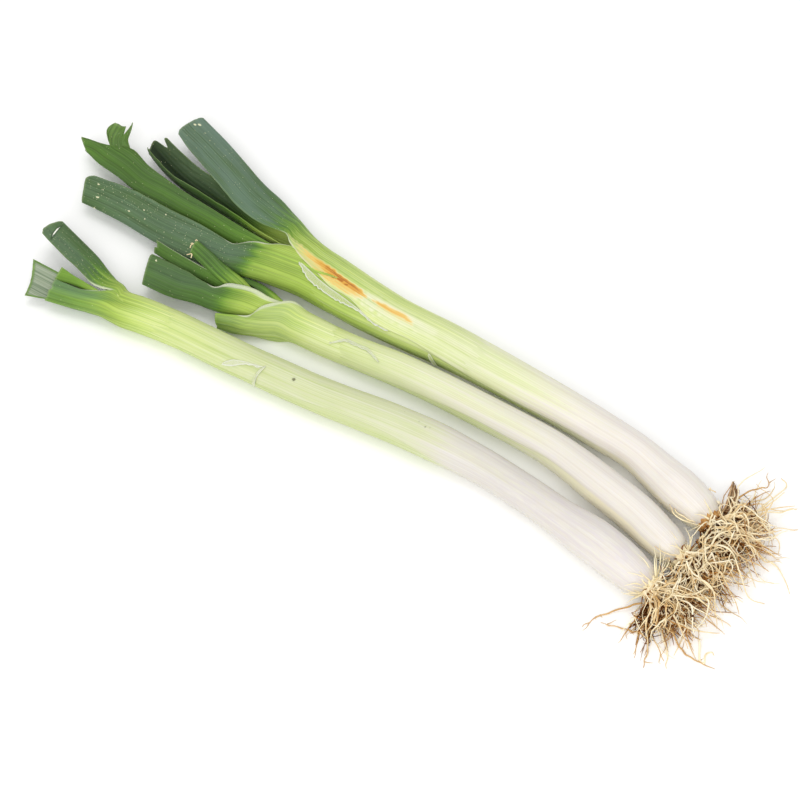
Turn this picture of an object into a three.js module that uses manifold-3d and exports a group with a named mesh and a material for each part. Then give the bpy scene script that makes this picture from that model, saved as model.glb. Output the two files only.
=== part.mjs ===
// A bunch of three long-shafted spring onions lying side by side on a flat surface.
// Millimetres, +Z up. +X runs from the cut leaves to the roots; the front stalk is on the -Y side.
import * as THREE from 'three';
import { mergeVertices } from 'three/addons/utils/BufferGeometryUtils.js';
import Module from 'manifold-3d';

const wasm = await Module();
wasm.setup();

// ---------------------------------------------------------------- driving dimensions

const BUNCH_CENTRE = [-4.5, -6];       // middle of the bunch in the layout below
const GAP = 0.35;                      // clearance between neighbouring pieces
const REST_HALF_ANGLE = 14;            // degrees of each shaft's round that its flat underside takes
const SHAFT_SIDES = 20;
const SHAFT_STEP = 17;                 // length of one shaft facet
const END_DIP = 3;                     // how far a shaft's axis drops from its bulb to its root plate
const BLADE_THICKNESS = 1.3;
const KEEL_THICKNESS = 2.2;
const BLADE_STEPS = 7;
const FLOOR_CLEARANCE = 0.6;           // lowest point of a folded blade's under half
const ROOT_SIDES = 5;
const ROOT_STEPS = 6;
const DISC_SIDES = 12;
const SEED = 7;

// Each shaft: x, y, half width, half height. The first point is at the leaves, the last at the root plate.
const BACK_SHAFT = [
  [-118, 31.8, 21.2, 13], [-97, 31.8, 21.2, 13.5], [-60, 31.2, 19.5, 14], [-26, 32.6, 17.1, 14.2],
  [7, 36.4, 16.2, 14.3], [72, 40.2, 14.8, 14.2], [137, 42, 13.5, 13.5], [169, 41, 13.2, 13.2],
  [188, 36.5, 14, 14], [206, 32, 15.4, 15.2], [219, 29.6, 14.4, 14.2], [228, 28, 12.4, 12.4],
  [233, 27, 9, 10],
];
const MIDDLE_SHAFT = [
  [-122, -14.5, 11.5, 10.5], [-100, -12, 11.8, 11.5], [-78, -10.6, 11.6, 11.8],
  [-46, -6.8, 11.4, 11.6], [0, 1.4, 11.9, 12], [63, 7.8, 12, 12], [127, 9.8, 12.7, 12.8],
  [161, 5.2, 13.8, 13.8], [196, 0, 13.7, 13.7], [212, -4, 13.4, 13.4], [222, -6, 12.4, 12.6],
  [229, -7.2, 10.2, 11], [232.5, -7.6, 7, 9],
];
const FRONT_SHAFT = [
  [-206, -78, 12, 11], [-190, -73.4, 12.4, 12], [-159, -66.8, 12.5, 12.5], [-94, -58.2, 12.6, 12.7],
  [-31, -48.6, 12.8, 12.9], [28, -36.7, 13.4, 13.5], [60, -32, 13.6, 13.6], [90, -29, 12.5, 12.5],
  [121, -29, 12.4, 12.4], [154, -31, 13, 13], [187, -34, 15.2, 15.2], [204, -36, 14.6, 14.8],
  [216, -37.3, 13.2, 13.4], [224, -37.8, 11, 11.5], [228, -38.2, 7.5, 9],
];

// The flap torn from the tip of the back stalk's third leaf, which curls up and back.
const TIP_FLAP = {
  near: [[-287, 27, 16], [-295, 32, 18], [-301, 36, 21], [-304, 40, 24], [-302, 46, 26]],
  far: [[-275, 34, 17], [-283, 40, 19], [-287, 44, 22], [-288, 47, 24.5], [-291, 53, 26.5]],
  sag: 1,
};

// Each folded blade: its keel and the free edge of its upper half, from the sheath to the cut tip.
// The other half has its own free edge, or mirrors the upper one and reaches the given part of its width.
const BLADES = {
  back_leaf_4: {
    keel: [[-124, 5, 13], [-140, -1, 13], [-158, -8, 13], [-172, -11, 13], [-212, -15, 12],
      [-245, -15.5, 12], [-280, -19, 12]],
    edge: [[-126, 32, 26], [-140, 25, 25.5], [-151, 20, 25], [-158, 12.5, 24], [-190, 13, 21.5],
      [-250, 10.5, 18.5], [-293, 3.5, 16]],
    under: 0.9, round: 1.9,
  },
  back_leaf_1: {
    keel: [[-119, 57, 14], [-140, 64, 15], [-160, 70, 15.5], [-180, 74, 16], [-205, 82, 17],
      [-235, 90.5, 17.5], [-258, 95, 18]],
    edge: [[-119, 32, 27], [-134, 40, 26.5], [-150, 38.5, 25], [-177, 41, 24], [-205, 49.5, 23.5],
      [-235, 60, 22.5], [-262, 71, 21.5]],
    under: 0.9, round: 1.7,
  },
  back_leaf_3: {
    keel: [[-122, 22.5, 12.5], [-142, 19, 13], [-162, 17, 13], [-200, 15.5, 13], [-250, 13, 13],
      [-285, 16, 13], [-309, 20, 13]],
    edge: [[-122, 32, 21.5], [-140, 29, 22.5], [-162, 28.5, 22.5], [-225, 31, 20.5], [-260, 35, 19],
      [-284, 39.5, 18.5], [-298, 32, 18], [-313, 29, 16]],
    under: 0.8, round: 1.4, flap: TIP_FLAP,
  },
  back_leaf_2: {
    keel: [[-121, 40, 8.5], [-150, 37, 7], [-190, 36.5, 7], [-228, 38.5, 7], [-250, 42, 7.5],
      [-272, 49, 9]],
    edge: [[-121, 45, 21.5], [-150, 43, 22], [-170, 44, 22], [-190, 48, 22], [-228, 54, 21],
      [-274, 65, 20.5]],
    lower: [[-121, 33, 21.5], [-152, 32, 23.5], [-190, 35.5, 22], [-235, 38, 20], [-272, 48, 19.5]],
    round: 1,
  },
  middle_leaf_1: {
    keel: [[-91, -25, 8], [-105, -33, 8], [-118, -40, 9], [-128, -44, 9]],
    edge: [[-92, -3, 23.5], [-100, -12, 24.5], [-107, -21, 23], [-111, -28, 19], [-120, -34, 18],
      [-132, -40, 17.5]],
    under: 0.4, round: 2,
  },
  middle_leaf_2: {
    keel: [[-124, -31, 12], [-139, -36.5, 12], [-155, -41, 12], [-169, -46, 12], [-193, -49, 12]],
    edge: [[-124, -12, 24], [-133, -15, 24], [-140, -19, 23], [-144, -24.5, 21.5], [-170, -24.5, 19],
      [-204, -26.5, 17]],
    under: 0.9, round: 1.7,
  },
  middle_leaf_3: {
    keel: [[-124, -20, 12], [-145, -20, 13], [-172, -22.5, 14], [-204, -23.5, 14]],
    edge: [[-124, -13.5, 18.5], [-142, -14, 20], [-170, -15, 19], [-208, -15, 18]],
    under: 0.9, round: 1.3,
  },
  middle_leaf_5: {
    keel: [[-104, -1.5, 11.5], [-120, 1.5, 10.5], [-134, 2.5, 9.5], [-146, 0, 8]],
    edge: [[-104, -8, 19.5], [-120, -7, 19], [-134, -5, 15], [-144, -4, 11]],
    under: 0.9, round: 1.6,
  },
  middle_leaf_4: {
    keel: [[-124, -12.5, 20], [-138, -11, 22.5], [-152, -8.5, 23], [-182, -1.5, 22.5]],
    edge: [[-124, -8, 16], [-138, -6, 18.5], [-152, -4.5, 19.5], [-183, 0.5, 19.5]],
    lower: [[-124, -17, 15], [-138, -17.5, 18], [-152, -16.5, 19], [-183, -10, 19.5]],
    round: 1,
  },
  front_leaf_4: {
    keel: [[-208, -90, 11], [-220, -94, 11], [-240, -101, 10.5]],
    edge: [[-208, -78, 22.5], [-220, -83.5, 22], [-240, -86, 20]],
    under: 0.9, round: 1.8,
  },
  front_leaf_1: {
    keel: [[-209, -58, 14], [-218, -55.5, 15], [-231, -51, 16], [-248, -48, 17], [-275, -43, 18.5]],
    edge: [[-209, -75, 23], [-230, -72, 22], [-252, -67.5, 22], [-280, -60, 21]],
    under: 0.9, round: 1.5,
  },
  front_leaf_3: {
    keel: [[-209, -80, 18.5], [-226, -82, 19.5], [-241, -87, 19]],
    edge: [[-209, -76, 22], [-227, -77, 22.5], [-242, -77, 22.5]],
    under: 0.6, round: 1.4,
  },
};

// Open strips: one edge, the other edge and how far the middle sags below both.
const STRIPS = {
  front_leaf_2: {
    near: [[-214, -89, 9], [-226, -92.5, 9.5], [-240, -98.5, 9.5], [-254, -106.5, 9.5]],
    far: [[-214, -79.5, 17.5], [-226, -79, 19], [-245, -80, 19], [-266, -82, 19]],
    sag: 3,
  },
  back_husk: {
    near: [[236, 33, 14.5], [235.6, 40.4, 17.6], [232.2, 51, 18], [229.4, 58, 16.4]],
    far: [[239.5, 35, 12.5], [240.8, 41, 15], [237, 55.3, 15.6], [233, 62, 14]],
    sag: 1,
  },
};

// Loose skins on the shafts: distance along the shaft, then the two angles around it (90 is the top).
const SKINS = {
  back_dry_skin: {
    shaft: BACK_SHAFT,
    outline: [[-107, 69, 75], [-95, 52, 68], [-86, 47.5, 63], [-69, 43, 58], [-53, 45, 51.5],
      [-37, 32.5, 36.5]],
  },
  middle_film: {
    shaft: MIDDLE_SHAFT,
    outline: [[-51, 49, 54], [-46, 66, 74], [-41, 80, 92], [-25, 76, 88], [-17, 62, 68]],
  },
  front_film: {
    shaft: FRONT_SHAFT,
    outline: [[-101, 20, 26], [-94, 30, 52], [-84, 54, 62], [-73, 63, 68]],
  },
};
const SKIN_THICKNESS = 0.6;
const SKIN_LIFT = 2 * GAP;              // how far a skin lies off its shaft
const SKIN_SPANS = 4;

// Each stalk's root plate: place, size, the way its roots point, the spread of their fan and its reach.
const ROOTS = {
  back: { plate: [236, 24.8, 11.5], radius: 8.5, heading: 30, spread: 48, reach: 60, count: 12 },
  middle: { plate: [235.6, -8.2, 10.5], radius: 7.8, heading: -2, spread: 20, reach: 65, count: 10 },
  front: { plate: [231.4, -39, 10.5], radius: 7.8, heading: -34, spread: 40, reach: 54, count: 12 },
};
const PLATE_DEPTH = 5;
const CROWN_DEPTH = 3;
const CROWN_SHARE = 0.9;               // the crown's radius as a part of its plate's
const ROOT_RADIUS = 1.0;
const SHORTEST_ROOT = 0.72;            // as a part of the tuft's reach
const START_LIFT = 0.55;               // how far above or below its plate's middle a root starts, by radius
const START_SLIP = 0.5;                // how far to either side of it
const ROOT_SWAY = 3;                   // how far a root wanders off its heading
const REST_CLEARANCE = 0.4;            // between the surface and a root that has come down to it

// Longer roots that lie apart from the tufts.
const STRAY_ROOTS = {
  stray_root_1: [[226, -51, 4], [224, -54, 3], [216, -64, 1.2], [208, -83, 0.8]],
  stray_root_2: [[239, -65, 1], [232, -67, 1], [223, -71, 1], [214, -74, 1]],
  stray_root_3: [[244, -63, 2], [246, -66, 1.5], [251, -76, 1], [253, -84, 1]],
  stray_root_4: [[259, -56, 2], [263, -58, 1.4], [272, -60, 1], [280, -59.5, 1], [290, -58.7, 1]],
  stray_root_5: [[241, 61, 10.5], [242, 64, 10], [248, 75, 6], [242, 87, 2]],
};
const STRAY_RADIUS = 0.8;

// ---------------------------------------------------------------- materials

function material(colour, roughness) {
  return new THREE.MeshStandardMaterial({ color: colour, roughness, metalness: 0 });
}
const FINISHES = {
  shaft: () => material('#e3e8c8', 0.4),
  leaf: () => material('#4d7350', 0.5),
  paleLeaf: () => material('#9fbf5c', 0.45),
  skin: () => material('#c98a4c', 0.6),
  film: () => material('#efeee2', 0.5),
  husk: () => material('#9a5f3c', 0.8),
  plate: () => material('#cdb88a', 0.8),
  root: () => material('#b59466', 0.85),
};

// ---------------------------------------------------------------- shared geometry

const toRadians = THREE.MathUtils.degToRad;
const vector = (point) => new THREE.Vector3(...point);
const curve = (points) => new THREE.CatmullRomCurve3(points.map(vector), false, 'centripetal');

// A repeatable sequence of numbers from 0 to 1.
function randomNumbers(seed) {
  let state = seed;
  return () => {
    state = (state * 16807) % 2147483647;
    return state / 2147483647;
  };
}

// A closed skin over a row of rings that all have the same number of points, with flat end caps.
function loft(rings) {
  const sides = rings[0].length;
  const positions = rings.flat().flatMap((point) => point.toArray());
  const faces = [];
  for (let i = 0; i < rings.length - 1; i += 1) {
    for (let j = 0; j < sides; j += 1) {
      const next = (j + 1) % sides;
      const [a, b, c, d] = [i * sides + j, i * sides + next, (i + 1) * sides + next, (i + 1) * sides + j];
      faces.push(a, b, c, a, c, d);
    }
  }
  for (const [ring, flip] of [[0, true], [rings.length - 1, false]]) {
    for (const [a, b, c] of capTriangles(rings[ring])) {
      const base = ring * sides;
      faces.push(base + a, base + (flip ? c : b), base + (flip ? b : c));
    }
  }
  const geometry = new THREE.BufferGeometry();
  geometry.setAttribute('position', new THREE.Float32BufferAttribute(positions, 3));
  geometry.setIndex(faces);
  return outwardFacing(geometry);
}

// Triangles across one ring, found in the plane that the ring lies closest to.
function capTriangles(ring) {
  const normal = new THREE.Vector3();
  ring.forEach((point, i) => normal.add(point.clone().cross(ring[(i + 1) % ring.length])));
  const turn = new THREE.Quaternion().setFromUnitVectors(normal.normalize(), new THREE.Vector3(0, 0, 1));
  const flat = ring.map((point) => point.clone().applyQuaternion(turn));
  return THREE.ShapeUtils.triangulateShape(flat.map((point) => new THREE.Vector2(point.x, point.y)), []);
}

// Turns the whole skin inside out if its signed volume is negative.
function outwardFacing(geometry) {
  const index = geometry.getIndex();
  const position = geometry.getAttribute('position');
  const corner = (k) => new THREE.Vector3().fromBufferAttribute(position, index.getX(k));
  let volume = 0;
  for (let k = 0; k < index.count; k += 3) {
    volume += corner(k).dot(corner(k + 1).cross(corner(k + 2)));
  }
  if (volume < 0) {
    const faces = Array.from(index.array);
    for (let k = 0; k < faces.length; k += 3) {
      [faces[k], faces[k + 1]] = [faces[k + 1], faces[k]];
    }
    geometry.setIndex(faces);
  }
  return geometry;
}

// The same ring with every point moved outwards in the ring's own plane.
function grownRing(ring, amount) {
  const normal = new THREE.Vector3();
  ring.forEach((point, i) => normal.add(point.clone().cross(ring[(i + 1) % ring.length])));
  normal.normalize();
  return ring.map((point, i) => {
    const before = ring[(i + ring.length - 1) % ring.length];
    const after = ring[(i + 1) % ring.length];
    const along = after.clone().sub(before).normalize();
    return point.clone().addScaledVector(along.cross(normal).normalize(), amount);
  });
}

function toSolid(geometry) {
  const bare = geometry.clone();
  bare.deleteAttribute('normal');
  bare.deleteAttribute('uv');
  const merged = mergeVertices(bare, 1e-4);
  return new wasm.Manifold(new wasm.Mesh({
    numProp: 3,
    vertProperties: new Float32Array(merged.getAttribute('position').array),
    triVerts: new Uint32Array(merged.getIndex().array),
  }));
}

function toGeometry(solid) {
  const mesh = solid.getMesh();
  const geometry = new THREE.BufferGeometry();
  geometry.setAttribute('position', new THREE.BufferAttribute(mesh.vertProperties, 3));
  geometry.setIndex(new THREE.BufferAttribute(mesh.triVerts, 1));
  return geometry;
}

// A cut can leave loose crumbs: only the largest piece is kept.
function largestPiece(solid) {
  return solid.decompose().sort((a, b) => b.volume() - a.volume())[0];
}

// ---------------------------------------------------------------- shafts

// Place, half width and half height anywhere along a shaft, by its x.
function shaftAt(shaft, x) {
  const passed = shaft.filter((row) => row[0] <= x).length;
  const i = THREE.MathUtils.clamp(passed - 1, 0, shaft.length - 2);
  const t = (x - shaft[i][0]) / (shaft[i + 1][0] - shaft[i][0]);
  const mixed = shaft[i].map((value, k) => THREE.MathUtils.lerp(value, shaft[i + 1][k], t));
  const direction = vector([shaft[i + 1][0] - shaft[i][0], shaft[i + 1][1] - shaft[i][1], 0]).normalize();
  return { y: mixed[1], halfWidth: mixed[2], halfHeight: mixed[3], direction };
}

// Height of the shaft's axis: its underside is level with the surface along the whole resting length.
function axisHeight(shaft, x, halfHeight) {
  const resting = halfHeight * Math.cos(toRadians(REST_HALF_ANGLE));
  const bulb = shaft[shaft.length - 3];
  return x > bulb[0] ? Math.max(resting, bulb[3] * Math.cos(toRadians(REST_HALF_ANGLE)) - END_DIP) : resting;
}

function shaftRing(shaft, x, angles, offset) {
  const { y, halfWidth, halfHeight, direction } = shaftAt(shaft, x);
  const side = new THREE.Vector3(-direction.y, direction.x, 0);
  const height = axisHeight(shaft, x, halfHeight);
  return angles.map((angle) => new THREE.Vector3(x, y, height)
    .addScaledVector(side, -Math.cos(toRadians(angle)) * (halfWidth + offset))
    .add(new THREE.Vector3(0, 0, Math.sin(toRadians(angle)) * (halfHeight + offset))));
}

function shaftRings(shaft) {
  const start = -90 + REST_HALF_ANGLE;
  const step = (360 - 2 * REST_HALF_ANGLE) / (SHAFT_SIDES - 1);
  const angles = Array.from({ length: SHAFT_SIDES }, (_, k) => start + k * step);
  const first = shaft[0][0];
  const last = shaft[shaft.length - 1][0];
  const steps = Math.round((last - first) / SHAFT_STEP);
  const rings = [];
  for (let i = 0; i <= steps; i += 1) {
    rings.push(shaftRing(shaft, first + ((last - first) * i) / steps, angles, 0));
  }
  return rings;
}

// A thin skin lying just off a shaft's surface.
function skinRings({ shaft, outline }) {
  return outline.map(([x, from, to]) => {
    const angles = Array.from({ length: SKIN_SPANS + 1 }, (_, k) => from + ((to - from) * k) / SKIN_SPANS);
    const inner = shaftRing(shaft, x, angles, SKIN_LIFT);
    const outer = shaftRing(shaft, x, angles, SKIN_LIFT + SKIN_THICKNESS);
    return [...outer, ...inner.reverse()];
  });
}

// ---------------------------------------------------------------- leaves

// Fractions of the way from keel to free edge at which a half blade's section has a point.
const SECTION = [1, 0.7, 0.42, 0.18, 0];

// Points from a free edge down to the keel; the half is steepest at the keel.
function halfBlade(keel, edge, round) {
  return SECTION.map((s) => keel.clone().lerp(edge, s)
    .setZ(THREE.MathUtils.lerp(keel.z, edge.z, 1 - (1 - s) ** round)));
}

// The free edge that mirrors another one below the keel.
function mirroredEdge(keel, edge, under) {
  const drop = Math.min(edge.z - keel.z, keel.z - FLOOR_CLEARANCE);
  return keel.clone().lerp(edge, under).setZ(keel.z - drop);
}

function bladeRings({ keel, edge, lower, under, round }) {
  const [keelCurve, edgeCurve, lowerCurve] = [keel, edge, lower].map((points) => points && curve(points));
  const rings = [];
  for (let i = 0; i <= BLADE_STEPS; i += 1) {
    const k = keelCurve.getPoint(i / BLADE_STEPS);
    const e = edgeCurve.getPoint(i / BLADE_STEPS);
    const l = lower ? lowerCurve.getPoint(i / BLADE_STEPS) : mirroredEdge(k, e, under);
    const inwards = e.clone().add(l).multiplyScalar(0.5).sub(k).setLength(KEEL_THICKNESS);
    const innerKeel = k.clone().add(inwards);
    const across = l.clone().sub(e).setLength(BLADE_THICKNESS);
    const outerUp = halfBlade(k, e, round);
    const outerDown = halfBlade(k, l, round).reverse().slice(1);
    const innerDown = halfBlade(innerKeel, l.clone().sub(across), round);
    const innerUp = halfBlade(innerKeel, e.clone().add(across), round).reverse().slice(1);
    rings.push([...outerUp, ...outerDown, ...innerDown, ...innerUp]);
  }
  return rings;
}

// Fractions of the way across an open strip at which its section has a point.
const STRIP_SECTION = [0, 0.25, 0.5, 0.75, 1];

function stripRings({ near, far, sag }) {
  const nearCurve = curve(near);
  const farCurve = curve(far);
  const rings = [];
  for (let i = 0; i <= BLADE_STEPS; i += 1) {
    const a = nearCurve.getPoint(i / BLADE_STEPS);
    const b = farCurve.getPoint(i / BLADE_STEPS);
    const top = STRIP_SECTION.map((s) => a.clone().lerp(b, s)
      .add(new THREE.Vector3(0, 0, -4 * sag * s * (1 - s))));
    const bottom = top.map((point) => point.clone().setZ(point.z - BLADE_THICKNESS)).reverse();
    rings.push([...top, ...bottom]);
  }
  return rings;
}

// ---------------------------------------------------------------- roots

// A thin root along a line of points.
function rootGeometry(points, radius) {
  const section = new THREE.Shape(Array.from({ length: ROOT_SIDES }, (_, k) => {
    const angle = (2 * Math.PI * k) / ROOT_SIDES;
    return new THREE.Vector2(radius * Math.cos(angle), radius * Math.sin(angle));
  }));
  const extrudePath = curve(points);
  return new THREE.ExtrudeGeometry(section, { steps: ROOT_STEPS, bevelEnabled: false, extrudePath });
}

// A disc whose axis points along a heading in the ground plane, from one distance off a centre to another.
function disc(centre, radius, heading, from, to) {
  const profile = [[0, from], [radius, from], [radius, (from + to) / 2], [radius * 0.7, to], [0, to]];
  const geometry = new THREE.LatheGeometry(profile.map(([r, d]) => new THREE.Vector2(r, d)), DISC_SIDES);
  geometry.rotateZ(-Math.PI / 2).rotateZ(toRadians(heading));
  return geometry.translate(...centre);
}

function stalkHeading(shaft) {
  const [before, end] = shaft.slice(-2);
  return THREE.MathUtils.radToDeg(Math.atan2(end[1] - before[1], end[0] - before[0]));
}

// A point moved along a heading in the ground plane, and off to its left.
function offsetPoint([x, y, z], heading, along, off) {
  const [c, s] = [Math.cos(heading), Math.sin(heading)];
  return [x + along * c - off * s, y + along * s + off * c, z];
}

// Every root of a tuft grows from one crown on the plate, fans out and comes down to the surface.
function tuftSolid({ plate, radius, heading, spread, reach, count }, axis, random) {
  const [x, y, z] = plate;
  const face = PLATE_DEPTH / 2 + GAP;
  const crown = face + CROWN_DEPTH / 2;
  let tuft = toSolid(disc(plate, radius * CROWN_SHARE, axis, face, face + CROWN_DEPTH));
  for (let i = 0; i < count; i += 1) {
    const fan = toRadians(heading + spread * ((2 * i) / (count - 1) - 1));
    const length = reach * THREE.MathUtils.lerp(SHORTEST_ROOT, 1, random());
    const lift = radius * START_LIFT * (2 * random() - 1);
    const slip = radius * START_SLIP * (2 * random() - 1);
    const sway = ROOT_SWAY * (2 * random() - 1);
    const start = offsetPoint([x, y, z + lift], toRadians(axis), crown, slip);
    const rest = ROOT_RADIUS + REST_CLEARANCE;
    const route = [
      start,
      offsetPoint(start, fan, 0.25 * length, 0).with(2, z + 0.8 * lift),
      offsetPoint(start, fan, 0.55 * length, sway).with(2, rest + 0.45 * (z + lift - rest)),
      offsetPoint(start, fan, 0.8 * length, -sway).with(2, rest + 1),
      offsetPoint(start, fan, length, 0).with(2, rest),
    ];
    tuft = tuft.add(toSolid(rootGeometry(route, ROOT_RADIUS)));
  }
  return tuft;
}

// ---------------------------------------------------------------- assembly

const bunch = new THREE.Group();
bunch.position.set(-BUNCH_CENTRE[0], -BUNCH_CENTRE[1], 0);
const placed = [];

// Adds one piece, trimmed clear of every piece placed before it.
function place(name, finish, solid, grown) {
  let trimmed = solid;
  for (const neighbour of placed) {
    trimmed = trimmed.subtract(neighbour);
  }
  const mesh = new THREE.Mesh(toGeometry(largestPiece(trimmed)), FINISHES[finish]());
  mesh.name = name;
  bunch.add(mesh);
  placed.push(grown);
}

// A lofted piece, with a second loft joined to it where it has one.
function placeLoft(name, finish, rings, joined = null) {
  const grown = (rows) => toSolid(loft(rows.map((ring) => grownRing(ring, GAP))));
  const solid = toSolid(loft(rings));
  place(name, finish, joined ? solid.add(toSolid(loft(joined))) : solid,
    joined ? grown(rings).add(grown(joined)) : grown(rings));
}

const random = randomNumbers(SEED);
for (const [stalk, shaft] of [['back', BACK_SHAFT], ['middle', MIDDLE_SHAFT], ['front', FRONT_SHAFT]]) {
  placeLoft(`${stalk}_shaft`, 'shaft', shaftRings(shaft));
  const roots = ROOTS[stalk];
  const axis = stalkHeading(shaft);
  const half = PLATE_DEPTH / 2;
  place(`${stalk}_root_plate`, 'plate', toSolid(disc(roots.plate, roots.radius, axis, -half, half)),
    toSolid(disc(roots.plate, roots.radius + GAP, axis, -half, half + GAP)));
  const tuft = tuftSolid(roots, axis, random);
  place(`${stalk}_roots`, 'root', tuft, tuft);
}
for (const [name, blade] of Object.entries(BLADES)) {
  const finish = name === 'front_leaf_3' ? 'paleLeaf' : 'leaf';
  placeLoft(name, finish, bladeRings(blade), blade.flap ? stripRings(blade.flap) : null);
}
for (const [name, strip] of Object.entries(STRIPS)) {
  placeLoft(name, name === 'back_husk' ? 'husk' : 'leaf', stripRings(strip));
}
for (const [name, skin] of Object.entries(SKINS)) {
  placeLoft(name, name === 'back_dry_skin' ? 'skin' : 'film', skinRings(skin));
}
for (const [name, points] of Object.entries(STRAY_ROOTS)) {
  const root = toSolid(rootGeometry(points, STRAY_RADIUS));
  place(name, 'root', root, root);
}

export default bunch;
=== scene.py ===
"""Looks of the spring onion bunch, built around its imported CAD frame.

Lengths in the tables below are millimetres in the layout that part.mjs uses; place() turns them into
metres in the row frame. Angles around a shaft are degrees: 0 faces the front of the bunch, 90 is the
top, 180 the back.
"""
import math

import bpy
import numpy as np
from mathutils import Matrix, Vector


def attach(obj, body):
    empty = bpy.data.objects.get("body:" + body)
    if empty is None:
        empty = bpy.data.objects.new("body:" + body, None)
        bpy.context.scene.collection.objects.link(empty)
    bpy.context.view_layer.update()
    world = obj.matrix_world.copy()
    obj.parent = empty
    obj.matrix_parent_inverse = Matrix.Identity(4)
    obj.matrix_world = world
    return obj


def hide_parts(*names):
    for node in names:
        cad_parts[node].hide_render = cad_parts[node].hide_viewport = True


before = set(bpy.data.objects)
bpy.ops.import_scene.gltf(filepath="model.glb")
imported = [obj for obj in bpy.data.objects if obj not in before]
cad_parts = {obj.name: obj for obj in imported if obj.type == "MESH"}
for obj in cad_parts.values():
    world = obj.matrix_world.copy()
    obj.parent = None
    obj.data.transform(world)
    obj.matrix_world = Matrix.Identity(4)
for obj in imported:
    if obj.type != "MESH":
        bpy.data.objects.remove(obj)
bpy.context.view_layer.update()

MM = 0.001
BUNCH_CENTRE = np.array([-4.5, -6.0, 0.0])
# Each shaft rests on a flat strip along its underside, which reaches this far around to either side.
REST_ANGLE = math.radians(14)
UP = np.array([0, 0, 1])

# The lowest heights that the points of each kind of piece may have.
SHAFT_CLEARANCE = 0.02
SHEET_CLEARANCE = 0.03
TUBE_CLEARANCE = 0.04
LEAF_CLEARANCE = 0.05
PLATE_CLEARANCE = 0.3
STRAND_CLEARANCE = 0.4

# ------------------------------------------------------------------ camera, light and floor

PHOTO_AZIMUTH, PHOTO_ELEVATION = 37, 55
LENS = 85
CAMERA_DISTANCE = 1.3
AIM = (0.0135, -0.006, 0.0)
WORLD_LIGHT = 0.77
LIGHTS = {
    "key": dict(location=(-0.35, 0.1, 1.5), size=0.8, power=4, colour=(1.0, 0.99, 0.975)),
    "fill": dict(location=(0.6, -1.1, 1.2), size=1.2, power=13, colour=(1.0, 0.995, 0.985)),
}
FLOOR_HALF = 4.0
FLOOR_COLOUR = (0.98, 0.98, 0.975, 1)
FLOOR_ROUGHNESS = 0.9


def make_camera():
    a, e = math.radians(PHOTO_AZIMUTH), math.radians(PHOTO_ELEVATION)
    back = Vector((math.sin(a) * math.cos(e), -math.cos(a) * math.cos(e), math.sin(e)))
    data = bpy.data.cameras.new("camera")
    data.lens = LENS
    camera = bpy.data.objects.new("camera", data)
    camera.location = Vector(AIM) + back * CAMERA_DISTANCE
    camera.rotation_euler = (-back).to_track_quat("-Z", "Y").to_euler()
    bpy.context.scene.collection.objects.link(camera)
    bpy.context.scene.camera = camera


def area_light(name, location, size, power, colour):
    """A round lamp that looks at the middle of the bunch's footprint."""
    data = bpy.data.lights.new(name, "AREA")
    data.shape = "DISK"
    data.size = size
    data.energy = power
    data.color = colour
    light = bpy.data.objects.new(name, data)
    light.location = location
    light.rotation_euler = (-Vector(location)).to_track_quat("-Z", "Y").to_euler()
    bpy.context.scene.collection.objects.link(light)


def make_studio():
    world = bpy.data.worlds.new("studio")
    world.use_nodes = True
    background = world.node_tree.nodes["Background"]
    background.inputs["Color"].default_value = (1, 1, 1, 1)
    background.inputs["Strength"].default_value = WORLD_LIGHT
    bpy.context.scene.world = world
    for name, settings in LIGHTS.items():
        area_light(name, **settings)
    bpy.context.scene.view_settings.view_transform = "Standard"


def make_floor():
    corners = [(x * FLOOR_HALF, y * FLOOR_HALF, 0) for x, y in ((-1, -1), (1, -1), (1, 1), (-1, 1))]
    mesh = bpy.data.meshes.new("floor")
    mesh.from_pydata(corners, [], [(0, 1, 2, 3)])
    floor = bpy.data.objects.new("floor", mesh)
    bpy.context.scene.collection.objects.link(floor)
    material = bpy.data.materials.new("floor")
    material.use_nodes = True
    shader = material.node_tree.nodes["Principled BSDF"]
    shader.inputs["Base Color"].default_value = FLOOR_COLOUR
    shader.inputs["Roughness"].default_value = FLOOR_ROUGHNESS
    mesh.materials.append(material)


# ------------------------------------------------------------------ stalks

# Each shaft: x, y, half width, half height, from the leaves to the root plate.
SHAFTS = {
    "back": [(-118, 31.8, 21.2, 13), (-97, 31.8, 21.2, 13.5), (-60, 31.2, 19.5, 14), (-26, 32.6, 17.1, 14.2),
             (7, 36.4, 16.2, 14.3), (72, 40.2, 14.8, 14.2), (137, 42, 13.5, 13.5), (169, 41, 13.2, 13.2),
             (188, 36.5, 14, 14), (206, 32, 15.4, 15.2), (219, 29.6, 14.4, 14.2), (228, 28, 12.4, 12.4),
             (233, 27, 9, 10)],
    "middle": [(-122, -14.5, 11.5, 10.5), (-100, -12, 11.8, 11.5), (-78, -10.6, 11.6, 11.8),
               (-46, -6.8, 11.4, 11.6), (0, 1.4, 11.9, 12), (63, 7.8, 12, 12), (127, 9.8, 12.7, 12.8),
               (161, 5.2, 13.8, 13.8), (196, 0, 13.7, 13.7), (212, -4, 13.4, 13.4), (222, -6, 12.4, 12.6),
               (229, -7.2, 10.2, 11), (232.5, -7.6, 7, 9)],
    "front": [(-206, -78, 12, 11), (-190, -73.4, 12.4, 12), (-159, -66.8, 12.5, 12.5),
              (-94, -58.2, 12.6, 12.7), (-31, -48.6, 12.8, 12.9), (28, -36.7, 13.4, 13.5),
              (60, -32, 13.6, 13.6), (90, -29, 12.5, 12.5), (121, -29, 12.4, 12.4), (154, -31, 13, 13),
              (187, -34, 15.2, 15.2), (204, -36, 14.6, 14.8), (216, -37.3, 13.2, 13.4),
              (224, -37.8, 11, 11.5), (228, -38.2, 7.5, 9)],
}
BULB_DROP = 3


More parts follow.
